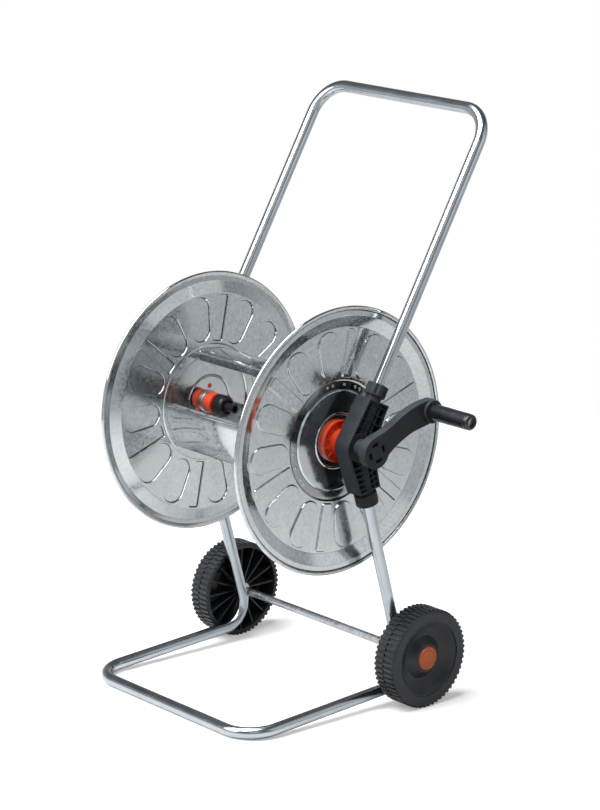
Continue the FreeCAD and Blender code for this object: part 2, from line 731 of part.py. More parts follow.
BASE_X = HUB_X - SHEET  # inner face of the disc's centre
CONNECTOR_X = BASE_X - 4.0  # where the connector starts, on the ring
BARREL_R = 12.2  # the connector's barrel, under the sleeve
THREAD_R = 11.0
NOSE_END = 122.0  # where the spigot's nose ends, inside the connector
BODY_SEAT_X = 116.0  # step inside the connector that the tail's flange rests on
NUT_X = 120.3  # where the hose nut starts, towards the sleeve
NUT_END = 99.6
TAIL_END = 81.8
NOSE_SEAL_X = 128.0


def outlet_spigot():
    """Black spigot seated in the left hub, with a nose for the connector."""
    seat_x = SOCKET_END - EASE
    profile = [(seat_x, PASSAGE_R), (seat_x, OUTLET_R), (CONNECTOR_X, OUTLET_R),
               (CONNECTOR_X, INLET_R), (NOSE_END + 1.5, INLET_R), (NOSE_END, INLET_R - 1.2),
               (NOSE_END, PASSAGE_R)]
    return mirrored(turned(profile).cut(seal_groove(NOSE_SEAL_X, INLET_R - 0.6)))


def connector_seal():
    return mirrored(seal_groove(NOSE_SEAL_X, INLET_R - 0.6))


def connector_ring():
    """Bright ring that holds the outlet spigot against the disc."""
    ring_r, inner_r, chamfer = 17.4, OUTLET_R + EASE, 0.8
    profile = [(BASE_X, inner_r), (BASE_X, ring_r), (CONNECTOR_X + chamfer, ring_r),
               (CONNECTOR_X, ring_r - chamfer), (CONNECTOR_X, inner_r)]
    return mirrored(turned(profile))


def connector_body():
    """Push-fit body: front flange, barrel for the sleeve, threaded end."""
    bore = INLET_R + 0.25
    tail_bore = TAIL_ROOT_R + EASE
    front, flange_r = CONNECTOR_X - EASE, 15.2
    flange_end = front - 2.9
    thread_end = NUT_END + 7
    profile = [(front, bore), (front, flange_r - 0.8), (front - 0.8, flange_r),
               (flange_end, flange_r), (flange_end, BARREL_R), (NUT_X + SLIP, BARREL_R),
               (NUT_X + SLIP, THREAD_R), (thread_end, THREAD_R), (thread_end, tail_bore),
               (BODY_SEAT_X, tail_bore), (BODY_SEAT_X, bore)]
    return mirrored(turned(profile))


def connector_sleeve():
    """Release sleeve that slides along the connector's barrel."""
    start = CONNECTOR_X - 3.2
    end = NUT_X + 2 * SLIP + SLEEVE_STROKE
    sleeve_r, bore = 15.8, BARREL_R + SLIP
    profile = [(start, bore), (start, sleeve_r - 0.8), (start - 0.8, sleeve_r),
               (end + 0.8, sleeve_r), (end, sleeve_r - 0.8), (end, bore)]
    return mirrored(turned(profile))


def connector_nut():
    """Knurled nut that squeezes the hose onto its tail."""
    lip_x = NUT_END + 6
    nut_r, mouth_r = 16.2, 10.0
    profile = [(NUT_X, THREAD_R + EASE), (NUT_X, nut_r - 0.8), (NUT_X - 0.8, nut_r),
               (NUT_END + 4.5, nut_r), (NUT_END + 1.5, 14.2), (NUT_END, 12.4),
               (NUT_END, mouth_r), (lip_x, mouth_r), (lip_x, THREAD_R + EASE)]
    nut = turned(profile)
    flutes = []
    flute_count, flute_r, flute_ring_r = 18, 1.5, 16.9
    for k in range(flute_count):
        y, z = polar(flute_ring_r, 360 * k / flute_count)
        flutes.append(rod(flute_r, NUT_END + 3, NUT_X - 2, y, REEL_Z + z))
    return mirrored(nut.cut(Part.makeCompound(flutes)))


def hose_tail():
    """Tail for the wound hose, held by its flange inside the connector."""
    step_x = NUT_END - 0.2
    flange_x = BODY_SEAT_X + 0.1
    profile = [(NOSE_END - 0.5, PASSAGE_R), (NOSE_END - 0.5, INLET_R), (flange_x, INLET_R),
               (flange_x, TAIL_ROOT_R), (step_x, TAIL_ROOT_R), (step_x, TAIL_R),
               (TAIL_END + 1, TAIL_R), (TAIL_END, TAIL_R - 1), (TAIL_END, PASSAGE_R)]
    return mirrored(turned(profile))


# ---- all nodes ----

def build():
    right_bracket = bracket()
    left_bracket = mirrored(right_bracket)
    for shank in inlet_screw_shanks():
        left_bracket = left_bracket.cut(mirrored(shank))
    right_disc = disc()
    handle_nut = clamp_nut(HANDLE_DIR, HANDLE_NUT_R, 6, 2.5, 2.0)
    leg_nut = clamp_nut(LEG_DIR, LEG_NUT_R, 24, 1.2, 0.5)
    right_wheel = wheel()
    right_cap = wheel_cap()
    nodes = {
        "lower_frame": lower_frame(),
        "handle_frame": handle_frame(),
        "axle_rod": axle_rod(),
        "axle_welds": axle_welds(),
        "axle_washers": axle_washers(),
        "axle_push_nuts": axle_push_nuts(),
        "bracket_right": right_bracket,
        "bracket_left": left_bracket,
        "handle_nut_right": handle_nut,
        "handle_nut_left": mirrored(handle_nut),
        "leg_nut_right": leg_nut,
        "leg_nut_left": mirrored(leg_nut),
        "clamp_collets": clamp_collets(),
        "inlet_spigot": inlet_spigot(),
        "inlet_screws": inlet_screws(),
        "inlet_seals": inlet_seals(),
        "disc_right": right_disc,
        "disc_left": mirrored(right_disc),
        "plate_rivets": plate_rivets(),
        "hub_right": hub_right(),
        "hub_left": hub_left(),
        "outlet_spigot": outlet_spigot(),
        "connector_body": connector_body(),
        "connector_ring": connector_ring(),
        "connector_nut": connector_nut(),
        "connector_seal": connector_seal(),
        "hose_tail": hose_tail(),
        "connector_sleeve": connector_sleeve(),
        "crank_arm": crank_arm(),
        "grip_pin": grip_pin(),
        "crank_grip": crank_grip(),
        "wheel_right": right_wheel,
        "wheel_left": mirrored(right_wheel),
        "wheel_cap_right": right_cap,
        "wheel_cap_left": mirrored(right_cap),
    }
    for number, angle in enumerate(PLATE_ANGLES, 1):
        nodes[f"drum_plate_{number}"] = drum_plate(angle)
    return nodes


def main():
    os.makedirs("parts", exist_ok=True)
    for name, shape in build().items():
        box = shape.BoundBox
        print(f"{name:18s} solids {len(shape.Solids):2d} valid {shape.isValid()} "
              f"volume {shape.Volume / 1000:8.2f} cm3  "
              f"x {box.XMin:.1f} {box.XMax:.1f}  y {box.YMin:.1f} {box.YMax:.1f}  "
              f"z {box.ZMin:.1f} {box.ZMax:.1f}")
        shape.exportStep(f"parts/{name}.step")


main()
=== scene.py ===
"""Garden hose reel cart: detailed pieces, finishes and a plain studio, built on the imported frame.

Lengths are millimetres until a piece is made. X is the reel axis with the crank on +X,
-Y is the front, +Y the wheels, +Z up. Places come from the frame's own boxes.
"""
import math

import bmesh
import bpy
from mathutils import Matrix, Vector, geometry


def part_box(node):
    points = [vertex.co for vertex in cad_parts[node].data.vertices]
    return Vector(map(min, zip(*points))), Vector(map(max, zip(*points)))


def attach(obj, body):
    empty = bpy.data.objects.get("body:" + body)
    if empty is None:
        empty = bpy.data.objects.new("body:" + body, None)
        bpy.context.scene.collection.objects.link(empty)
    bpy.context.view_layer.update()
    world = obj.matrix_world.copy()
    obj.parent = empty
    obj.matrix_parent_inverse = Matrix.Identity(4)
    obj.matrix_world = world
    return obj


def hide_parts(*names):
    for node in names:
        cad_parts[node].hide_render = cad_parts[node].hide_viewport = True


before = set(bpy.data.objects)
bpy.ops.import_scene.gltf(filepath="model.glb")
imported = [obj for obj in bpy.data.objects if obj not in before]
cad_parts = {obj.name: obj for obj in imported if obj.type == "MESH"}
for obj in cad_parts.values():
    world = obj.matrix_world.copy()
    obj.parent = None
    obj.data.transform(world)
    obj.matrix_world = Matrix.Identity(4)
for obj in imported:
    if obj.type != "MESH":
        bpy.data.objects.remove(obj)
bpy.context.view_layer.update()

MM = 0.001
TURN = math.tau


class Box:
    """A CAD node's corners, middle and size in millimetres."""

    def __init__(self, node):
        low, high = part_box(node)
        self.low, self.high = low / MM, high / MM
        self.mid = (self.low + self.high) / 2
        self.size = self.high - self.low


# ---- places and sizes, from the frame ----
DISC = Box("disc_right")
BRACKET = Box("bracket_right")
HANDLE = Box("handle_frame")
FLOOR_BAR = Box("lower_frame")
WHEEL = Box("wheel_right")
AXLE = Box("axle_rod")
WASHER = Box("axle_washers")
CRANK = Box("crank_arm")
GRIP = Box("crank_grip")
INLET = Box("inlet_spigot")
LEG_NUT = Box("leg_nut_right")
HANDLE_NUT = Box("handle_nut_right")
SLEEVE = Box("connector_sleeve")
NUT = Box("connector_nut")
TAIL = Box("hose_tail")

REEL_Z = DISC.mid.z
DISC_R = DISC.size.z / 2
SIDE_X = LEG_NUT.mid.x
TUBE_R = HANDLE.high.x - SIDE_X
HANDLE_TOP_Z = HANDLE.high.z - TUBE_R
FRONT_Y = FLOOR_BAR.low.y + TUBE_R
BRACKET_IN, BRACKET_OUT = BRACKET.low.x, BRACKET.high.x
AXLE_Y, WHEEL_R = WHEEL.mid.y, WHEEL.size.z / 2
AXLE_R, AXLE_HALF = AXLE.size.z / 2, AXLE.high.x
WHEEL_IN, WHEEL_OUT = WHEEL.low.x, WHEEL.high.x
GRIP_Y, GRIP_Z = GRIP.mid.y, GRIP.mid.z
GRIP_R = GRIP.size.z / 2

# ---- driving dimensions of the shapes ----
HANDLE_LEAN, LEG_LEAN, FLOOR_RISE = map(math.radians, (29.4, 16.6, 3.2))
LEG_BACK = 3.0  # that the leg's line passes behind the reel axis
FRONT_BEND_R, REAR_BEND_R = 50.0, 38.0
TUBE_END = 27.0
HANDLE_ARM, LEG_ARM, ARM_SLANT = 70.5, 71.5, 3.0  # a bracket's arms, longer at the back
NUT_START, NUT_LENGTH = 78.0, 18.0
NOSE_R, NOSE_END = 12.2, NUT_START + NUT_LENGTH - 4.6
SHEET = 1.0
FIELD_X = DISC.low.x + 1.5 + SHEET  # outer face of the disc's flat field
EMBOSS = 2.6
DRUM_R = 86.0
PLATE_HALF = math.radians(26.0)
PLATE_ANGLES = (80.0, 200.0, 320.0)
HUB_X = FIELD_X + 0.8
PEG_RING_R, PEG_ANGLES = 24.4, (85.0, 205.0, 325.0)
CRANK_IN, CRANK_OUT = 217.0, 232.0
BOSS_R = 18.0
SHARP = math.radians(38)

AXIS = Matrix.Translation((0, 0, REEL_Z))
WHEEL_AXIS = Matrix.Translation((0, AXLE_Y, WHEEL_R))
GRIP_AXIS = Matrix.Translation((0, GRIP_Y, GRIP_Z))
HANDLE_DIR = Vector((0, math.sin(HANDLE_LEAN), math.cos(HANDLE_LEAN)))
LEG_DIR = Vector((0, math.sin(LEG_LEAN), -math.cos(LEG_LEAN)))


# ---- outlines ----

def polar(r, degrees):
    a = math.radians(degrees)
    return Vector((r * math.cos(a), r * math.sin(a)))


def swing(centre, first, last, steps):
    """Points on an arc round a centre, between two spokes less than half a turn apart."""
    turn = first.angle(last)
    return [centre + (first * math.sin((1 - k / steps) * turn) + last * math.sin(k / steps * turn))
            / math.sin(turn) for k in range(steps + 1)]


def rounded(points, radii, closed=False, step=18.0):
    """The points with each corner turned into an arc, in steps of about so many degrees."""
    points = [Vector(p) for p in points]
    count = len(points)
    if not isinstance(radii, (list, tuple)):
        radii = [radii] * count
    out = []
    for i, (p, r) in enumerate(zip(points, radii)):
        ends = not closed and i in (0, count - 1)
        back, on = points[i - 1] - p, points[(i + 1) % count] - p
        if ends or r == 0 or math.pi - back.angle(on) < 0.01:
            out.append(p)
            continue
        half = back.angle(on) / 2
        reach = min(r / math.tan(half), 0.49 * back.length, 0.49 * on.length)
        r = reach * math.tan(half)
        back.normalize()
        on.normalize()
        centre = p + (back + on).normalized() * (r / math.sin(half))
        first, last = p + back * reach - centre, p + on * reach - centre
        steps = max(2, math.ceil((180 - 2 * math.degrees(half)) / step))
        out += swing(centre, first, last, steps)
    return out


def arc_over(a, b, c, steps):
    """2D points on the arc from a over b to c."""
    ab, ac = b - a, c - a
    offset = Vector((ac.y * ab.length_squared - ab.y * ac.length_squared,
                     ab.x * ac.length_squared - ac.x * ab.length_squared))
    centre = a + offset / (2 * (ab.x * ac.y - ab.y * ac.x))
    return swing(centre, a - centre, c - centre, steps)


def inset(outline, distance):
    """A closed, counter-clockwise 2D outline moved inwards by a distance."""
    moved = []
    count = len(outline)
    for i, p in enumerate(outline):
        a = (p - outline[i - 1]).normalized()
        b = (outline[(i + 1) % count] - p).normalized()
        na, nb = Vector((-a.y, a.x)), Vector((-b.y, b.x))
        moved.append(p + (na + nb) * (distance / (1 + na.dot(nb))))
    return moved


def ribbon(path, thickness):
    """The closed outline of a strip of sheet bent along a 2D path."""
    left, right = [], []
    for i, p in enumerate(path):
        a = (p - path[max(i - 1, 0)]).normalized()
        b = (path[min(i + 1, len(path) - 1)] - p).normalized()
        along = (a + b).normalized()
        side = Vector((-along.y, along.x)) * (thickness / 2)
        left.append(p + side)
        right.append(p - side)
    return right + left[::-1]


def smooth_curve(points, steps=6):
    """Catmull-Rom curve through 2D points."""
    points = [Vector(p) for p in points]
    padded = [2 * points[0] - points[1]] + points + [2 * points[-1] - points[-2]]
    out = [points[0]]
    for a, b, c, d in zip(padded, padded[1:], padded[2:], padded[3:]):
        for k in range(1, steps + 1):
            t = k / steps
            out.append(0.5 * (2 * b + (c - a) * t + (2 * a - 5 * b + 4 * c - d) * t ** 2
                              + (3 * b - a - 3 * c + d) * t ** 3))
    return out


def arc(centre, r, start, end, count):
    """2D points on an arc, angles in degrees."""
    return [Vector(centre) + polar(r, start + (end - start) * k / count)
            for k in range(count + 1)]


# ---- meshes ----

class Shape:
    """Vertices and faces of one piece in millimetres. unbent holds each vertex's place on the
    straight piece that it was bent from, so that a grain can follow a tube."""

    def __init__(self):
        self.verts, self.faces, self.unbent = [], [], []

    def loft(self, loops, closed=False, caps=False, unbent=None):
        """Joins equal loops of points with quads."""
        base, n = len(self.verts), len(loops[0])
        for loop in loops:
            self.verts += loop
        for loop in unbent or loops:
            self.unbent += loop
        for i in range(len(loops) if closed else len(loops) - 1):
            a, b = base + i * n, base + (i + 1) % len(loops) * n
            self.faces += [(a + j, a + (j + 1) % n, b + (j + 1) % n, b + j) for j in range(n)]
        if caps:
            last = base + (len(loops) - 1) * n
            self.faces.append(tuple(range(base, base + n))[::-1])
            self.faces.append(tuple(range(last, last + n)))

    def lathe(self, profile, place, n=96, closed=True, relief=None):
        """Turns (x, radius) points about a local X axis; relief(x, angle) is added to a radius."""
        loops = []
        for x, r in profile:
            loop = []
            for j in range(n):
                a = TURN * j / n
                rr = r + (relief(x, a) if relief else 0)
                loop.append(place @ Vector((x, rr * math.cos(a), rr * math.sin(a))))
            loops.append(loop)
        self.loft(loops, closed)

    def tube(self, path, r, n=48):
        """A round bar along a path of points."""
        loops, straight, run = [], [], 0.0
        side = (path[1] - path[0]).orthogonal().normalized()
        for i, p in enumerate(path):
            before = (p - path[i - 1]) if i else (path[1] - p)
            after = (path[i + 1] - p) if i + 1 < len(path) else before
            run += before.length if i else 0
            way = (before.normalized() + after.normalized()).normalized()
            side = (side - way * side.dot(way)).normalized()
            up = way.cross(side)
            turns = [(math.cos(TURN * j / n), math.sin(TURN * j / n)) for j in range(n)]
            loops.append([p + side * (r * c) + up * (r * s) for c, s in turns])
            straight.append([Vector((run, r * c, r * s)) for c, s in turns])
        self.loft(loops, caps=True, unbent=straight)

    def slab(self, outline, x0, x1, edge=0.6, place=None, steps=3):
        """A plate with a closed 2D outline in Y and Z, thick along X, its edges rounded."""
        place = place or AXIS
        rounding = [(edge * (1 - math.sin(math.pi / 2 * k / steps)),
                     edge * (1 - math.cos(math.pi / 2 * k / steps))) for k in range(steps + 1)]
        levels = [(x0 + rise, back) for back, rise in rounding]
        levels += [(x1 - rise, back) for back, rise in reversed(rounding)]
        loops = [[place @ Vector((x, p.x, p.y)) for p in inset(outline, back)]
                 for x, back in levels]
        self.loft(loops, caps=True)

    def rim(self, outline, section, place=None):
        """A wall that follows a closed outline; section is a closed loop of (inset, x)."""
        place = place or AXIS
        self.loft([[place @ Vector((x, p.x, p.y)) for p in inset(outline, back)]
                   for back, x in section], closed=True)

    def brick(self, size, place, edge=0.5):
        """A box with rounded edges, centred on its place; size is along X, Y and Z."""
        half_y, half_z = size[1] / 2, size[2] / 2
        corners = [(-half_y, -half_z), (half_y, -half_z), (half_y, half_z), (-half_y, half_z)]
        outline = rounded(corners, edge, closed=True, step=45)
        self.slab(outline, -size[0] / 2, size[0] / 2, edge, place, steps=2)

    def add(self, verts, faces):
        base = len(self.verts)
        self.verts += verts
        self.unbent += verts
        self.faces += [tuple(base + i for i in f) for f in faces]

    def mirrored(self):
        """The same shape on the other side of the cart."""
        twin = Shape()
        twin.verts = [Vector((-v.x, v.y, v.z)) for v in self.verts]
        twin.unbent = [Vector((-v.x, v.y, v.z)) for v in self.unbent]
        twin.faces = [f[::-1] for f in self.faces]
        return twin

    def add_twin(self):
        """Adds the mirror image, for a node with solids on both sides."""
        twin = self.mirrored()
        self.add(twin.verts, twin.faces)


def piece(name, shape, body, slot, node, finish=None):
    """Makes a shape into an object that rides on a body and stands for a node of the frame;
    its finish is that of its slot unless another is named."""
    mesh = bpy.data.meshes.new(name)
    mesh.from_pydata([v * MM for v in shape.verts], [], shape.faces)
    grain = mesh.attributes.new("unbent", "FLOAT_VECTOR", "POINT")
    grain.data.foreach_set("vector", [c * MM for v in shape.unbent for c in v])
    bm = bmesh.new()
    bm.from_mesh(mesh)
    bmesh.ops.remove_doubles(bm, verts=bm.verts, dist=2e-6)
    bmesh.ops.recalc_face_normals(bm, faces=bm.faces)
    bm.to_mesh(mesh)
    bm.free()
    mesh.shade_smooth()
    mesh.set_sharp_from_angle(angle=SHARP)
    mesh.materials.append(FINISHES[finish or slot])
    obj = bpy.data.objects.new(name, mesh)
    bpy.context.scene.collection.objects.link(obj)
    even = obj.modifiers.new("even_normals", "WEIGHTED_NORMAL")
    even.keep_sharp = True
    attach(obj, body)
    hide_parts(node)


def pair(name, shape, bodies, slot):
    """The right-hand piece and its mirror image on the left, each for the node of its name."""
    for side, twin, body in (("right", shape, bodies[0]), ("left", shape.mirrored(), bodies[1])):
        node = name.format(side)
        piece(node + "_visual", twin, body, slot, node)


# ---- finishes ----

class Finish:
    """A material being put together round its Principled shader."""

    def __init__(self, name, colour, metallic=0.0, coat=0.0):
        self.material = bpy.data.materials.new(name)
        self.material.use_nodes = True
        tree = self.material.node_tree
        self.nodes, self.links = tree.nodes, tree.links
        self.shader = self.nodes["Principled BSDF"]
        self.shader.inputs["Base Color"].default_value = (*colour, 1)
        self.shader.inputs["Metallic"].default_value = metallic
        self.shader.inputs["Coat Weight"].default_value = coat
        self.colour = colour

    def node(self, kind, **settings):
        made = self.nodes.new(kind)
        for key, value in settings.items():
            setattr(made, key, value)
        return made

    def place(self, stretch=(1, 1, 1), unbent=False):
        """Coordinates on the piece in metres, scaled along each axis."""
        if unbent:
            source = self.node("ShaderNodeAttribute", attribute_name="unbent").outputs["Vector"]
        else:
            source = self.node("ShaderNodeTexCoord").outputs["Object"]
        mapping = self.node("ShaderNodeMapping")
        mapping.inputs["Scale"].default_value = stretch
        self.links.new(source, mapping.inputs["Vector"])
        return mapping.outputs["Vector"]

    def noise(self, scale, detail=2.0, place=None):
        made = self.node("ShaderNodeTexNoise")
        made.inputs["Scale"].default_value = scale
        made.inputs["Detail"].default_value = detail
        self.links.new(place or self.place(), made.inputs["Vector"])
        return made.outputs["Fac"]

    def cells(self, scale, place=None):
        """A random grey for each crystal of a given size."""
        made = self.node("ShaderNodeTexVoronoi")
        made.inputs["Scale"].default_value = scale
        self.links.new(place or self.place(), made.inputs["Vector"])
        split = self.node("ShaderNodeSeparateColor")
        self.links.new(made.outputs["Color"], split.inputs["Color"])
        return split.outputs["Red"]

    def ranged(self, value, low, high, start=0.3, end=0.7):
        """A texture value spread over a new range."""
        made = self.node("ShaderNodeMapRange")
        for key, number in (("From Min", start), ("From Max", end), ("To Min", low),
                            ("To Max", high)):
            made.inputs[key].default_value = number
        self.links.new(value, made.inputs["Value"])
        return made.outputs["Result"]

    def summed(self, a, b):
        made = self.node("ShaderNodeMath", operation="ADD")
        self.links.new(a, made.inputs[0])
        self.links.new(b, made.inputs[1])
        return made.outputs["Value"]

    def tint(self, value, dark, light):
        """Base colour that runs between two shades of the finish's own colour."""
        made = self.node("ShaderNodeValToRGB")
        for element, factor in zip(made.color_ramp.elements, (dark, light)):
            element.color = (*[min(c * factor, 1) for c in self.colour], 1)
        made.color_ramp.elements[0].position = 0.3
        made.color_ramp.elements[1].position = 0.7
        self.links.new(value, made.inputs["Fac"])
        self.links.new(made.outputs["Color"], self.shader.inputs["Base Color"])

    def paint_shade_in_creases(self, flat, crease, shade):
        """Painted shade: base colour that falls to a darker copy of itself as the surface bends from
        flat into a crease, standing in for the shade that falls in hollows;
        0.5 is the curvature of a flat face and less is hollow."""
        curvature = self.node("ShaderNodeNewGeometry").outputs["Pointiness"]
        mix = self.node("ShaderNodeMixRGB")
        mix.inputs["Color1"].default_value = (*[c * shade for c in self.colour], 1)
        self.links.new(self.ranged(curvature, 0.0, 1.0, crease, flat), mix.inputs["Fac"])
        base = self.shader.inputs["Base Color"]
        self.links.new(base.links[0].from_socket, mix.inputs["Color2"])
        self.links.new(mix.outputs["Color"], base)

    def rough(self, value):
        self.links.new(value, self.shader.inputs["Roughness"])

    def bump(self, value, depth):
        """Relief of a given depth in millimetres, laid over any relief before it."""
        made = self.node("ShaderNodeBump")
        made.inputs["Strength"].default_value = 1.0
        made.inputs["Distance"].default_value = depth * MM
        self.links.new(value, made.inputs["Height"])
        before = self.shader.inputs["Normal"].links
        if before:
            self.links.new(before[0].from_socket, made.inputs["Normal"])
        self.links.new(made.outputs["Normal"], self.shader.inputs["Normal"])


def zinc_tube():
    """Bright zinc-plated tube: drawing lines along it and faint clouding."""
    f = Finish("zinc_tube", (0.42, 0.455, 0.48), metallic=1.0)
    lines = f.noise(1.0, 3.0, f.place((14, 1100, 1100), unbent=True))
    clouds = f.noise(22.0, 2.0, f.place(unbent=True))
    f.tint(f.summed(f.ranged(clouds, 0.40, 0.55), f.ranged(lines, -0.12, 0.12)), 0.80, 1.15)
    f.rough(f.summed(f.ranged(clouds, 0.15, 0.20), f.ranged(lines, -0.03, 0.05)))
    f.bump(lines, 0.02)
    return f.material


def drawn_rod():
    """Plain bright bar for the axle and its small parts."""
    f = Finish("drawn_rod", (0.52, 0.54, 0.56), metallic=1.0)
    turning = f.noise(1.0, 2.0, f.place((900, 40, 40)))
    f.tint(f.noise(60.0, 3.0), 0.85, 1.1)
    f.rough(f.ranged(turning, 0.24, 0.38))
    f.bump(turning, 0.01)
    return f.material


def galvanised():
    """Pressed galvanised sheet: glossy, with fine spangle crystals, a faintly wavy surface and
    painted shade in its creases.
    """
    f = Finish("galvanised_sheet", (0.50, 0.525, 0.535), metallic=1.0)
    spangle = f.cells(260.0)
    fine = f.noise(700.0, 4.0)
    clouds = f.noise(11.0, 2.0)
    f.tint(f.summed(f.ranged(spangle, 0.38, 0.60, 0.0, 1.0), f.ranged(clouds, -0.06, 0.06)),
           0.82, 1.14)
    # painted shade: the sheet's colour darkens in hollow creases round its embosses and beads,
    # standing in for the shade there
    f.paint_shade_in_creases(flat=0.494, crease=0.482, shade=0.06)
    f.rough(f.summed(f.ranged(spangle, 0.09, 0.17, 0.0, 1.0), f.ranged(fine, -0.02, 0.04)))
    f.bump(f.noise(24.0, 1.0), 0.17)
    f.bump(f.summed(f.ranged(spangle, 0.0, 0.25, 0.0, 1.0), fine), 0.006)
    return f.material


def moulded(name, colour, roughness, grain=0.02, coat=0.0, specular=0.5):
    """Moulded plastic: fine grain and slight changes of shade and gloss."""
    f = Finish(name, colour, coat=coat)
    f.shader.inputs["Specular IOR Level"].default_value = specular
    f.shader.inputs["Coat Roughness"].default_value = 0.25
    speckle = f.noise(1600.0, 3.0)
    clouds = f.noise(45.0, 4.0)
    f.tint(f.summed(f.ranged(clouds, 0.35, 0.65), f.ranged(speckle, -0.06, 0.06)), 0.82, 1.2)
    f.rough(f.summed(f.ranged(clouds, roughness - 0.05, roughness + 0.05),
                     f.ranged(speckle, -0.03, 0.03)))
    f.bump(speckle, grain)
    return f.material


ROD = drawn_rod()
ORANGE = moulded("orange_hub", (0.84, 0.075, 0.018), 0.33, 0.008, coat=0.2)
FINISHES = {
    "tube": zinc_tube(),
    "rod": ROD,
    "steel_trim": ROD,
    "galvanised_sheet": galvanised(),
    "black_plastic": moulded("black_plastic", (0.042, 0.048, 0.056), 0.42, 0.015, specular=0.12),
    "black_fitting": moulded("black_fitting", (0.012, 0.013, 0.015), 0.32, 0.010, specular=0.3),
    "grip_plastic": moulded("grip_plastic", (0.008, 0.009, 0.013), 0.24, 0.006, coat=0.2),
    "orange_hub": ORANGE,
    "orange_fitting": ORANGE,
    "orange_cap": moulded("orange_cap", (0.93, 0.19, 0.045), 0.42, 0.01),
    "wheel_plastic": moulded("wheel_plastic", (0.024, 0.026, 0.030), 0.40, 0.02, specular=0.40),
    "seal_rubber": moulded("seal_rubber", (0.010, 0.010, 0.010), 0.55, 0.01),
}


# ---- frame tubes and axle ----

def foot_of(direction):
    """How far behind the reel axis a side tube's line passes."""
    return LEG_BACK if direction.z < 0 else 0.0


def along(direction, distance, x=0.0):
    return Vector((x, foot_of(direction), REEL_Z)) + direction * distance


def side_frame(direction):
    """Local axes with X along a bracket's arm, Y across it towards the back, Z along -X or +X."""
    x_axis = direction
    y_axis = Vector((0, abs(direction.z), -direction.y * math.copysign(1, direction.z)))
    z_axis = x_axis.cross(y_axis)
    turn = Matrix((x_axis, y_axis, z_axis)).transposed().to_4x4()
    return Matrix.Translation(along(direction, 0, SIDE_X)) @ turn


def handle_tube():
    top = (HANDLE_TOP_Z - REEL_Z) / HANDLE_DIR.z
    corners = [along(HANDLE_DIR, TUBE_END, SIDE_X), along(HANDLE_DIR, top, SIDE_X),
               along(HANDLE_DIR, top, -SIDE_X), along(HANDLE_DIR, TUBE_END, -SIDE_X)]
    shape = Shape()
    shape.tube(rounded(corners, FRONT_BEND_R, step=4), TUBE_R)
    piece("handle_tube", shape, "frame", "tube", "handle_frame")


def floor_tube():
    slope = math.tan(FLOOR_RISE)
    drop = REEL_Z - TUBE_R - slope * (LEG_BACK - FRONT_Y)
    reach = drop / (slope * LEG_DIR.y - LEG_DIR.z)
    half = [along(LEG_DIR, TUBE_END, SIDE_X), along(LEG_DIR, reach, SIDE_X),
            Vector((SIDE_X, FRONT_Y, TUBE_R))]
    corners = half + [Vector((-p.x, p.y, p.z)) for p in reversed(half)]
    radii = [0, REAR_BEND_R, FRONT_BEND_R, FRONT_BEND_R, REAR_BEND_R, 0]
    shape = Shape()
    shape.tube(rounded(corners, radii, step=4), TUBE_R)
    piece("floor_tube", shape, "frame", "tube", "lower_frame")


def axle():
    shape = Shape()
    profile = [(-AXLE_HALF, 0), (-AXLE_HALF, AXLE_R), (AXLE_HALF, AXLE_R), (AXLE_HALF, 0)]
    shape.lathe(rounded(profile, 1.0, step=30), WHEEL_AXIS, 48, closed=False)
    piece("axle_bar", shape, "frame", "rod", "axle_rod")
    washers = Shape()
    inner, outer = SIDE_X + TUBE_R + 0.3, WASHER.high.x
    ring = rounded([(inner, AXLE_R), (inner, 11), (outer, 11), (outer, AXLE_R)], 0.4, closed=True)
    washers.lathe(ring, WHEEL_AXIS, 64)
    washers.add_twin()
    piece("washers", washers, "frame", "rod", "axle_washers")


def weld_beads():
    """Rippled beads where the axle lies in the legs' saddles."""
    bead_r, half, ripple = 1.9, 4.5, 1.3
    shape = Shape()
    for forward, up in ((4.4, 5.0), (1.6, -6.6)):
        place = Matrix.Translation((SIDE_X, AXLE_Y - forward, WHEEL_R + up))
        profile = []
        for k in range(41):
            x = half * (k / 20 - 1)
            end = math.sqrt(max(0.0, 1 - (x / half) ** 4))
            profile.append((x, end * bead_r * (1 + 0.09 * math.sin(TURN * x / ripple))))
        shape.lathe(profile, place, 20, closed=False)
    shape.add_twin()
    piece("weld_beads", shape, "frame", "rod", "axle_welds")


# ---- wheels ----

TREAD_BASE_R = WHEEL_R - 2.6
LUG_COUNT, RIB_COUNT = 56, 16
HUB_TUBE_R, RIM_INNER_R = 14.0, 67.0
WEB_X = WHEEL_OUT - 18.5  # inner face of the wheel's disc


def wheel_body():
    """Turned rim, dished face and hub, open at the back."""
    out = WHEEL_OUT
    profile = [(WHEEL_IN, AXLE_R + 0.1), (WHEEL_IN, HUB_TUBE_R), (WEB_X, HUB_TUBE_R),
               (WEB_X, 37.5), (out - 4.5, 58.5), (out - 4.5, RIM_INNER_R),
               (WHEEL_IN + 1, RIM_INNER_R), (WHEEL_IN + 1, TREAD_BASE_R),
               (out - 1.2, TREAD_BASE_R), (out, 70.6), (out, 57.6), (out - 2.0, 57.2),
               (out - 2.0, 55.6), (out - 9.0, 46.5), (out - 14.5, 35.5), (out - 14.5, 33.0),
               (out - 5.0, 21.5), (out - 4.2, 18.0), (out - 14.0, 18.0),
               (out - 14.0, AXLE_R + 0.1)]
    radii = [0.5, 0.8, 2, 5, 4, 2, 1, 1, 1.2, 1.2, 0.5, 0.5, 0.6, 30, 8, 1, 2, 0.6, 0.5, 0.3]
    shape = Shape()
    shape.lathe(rounded(profile, radii, closed=True, step=15), WHEEL_AXIS, 180)
    return shape


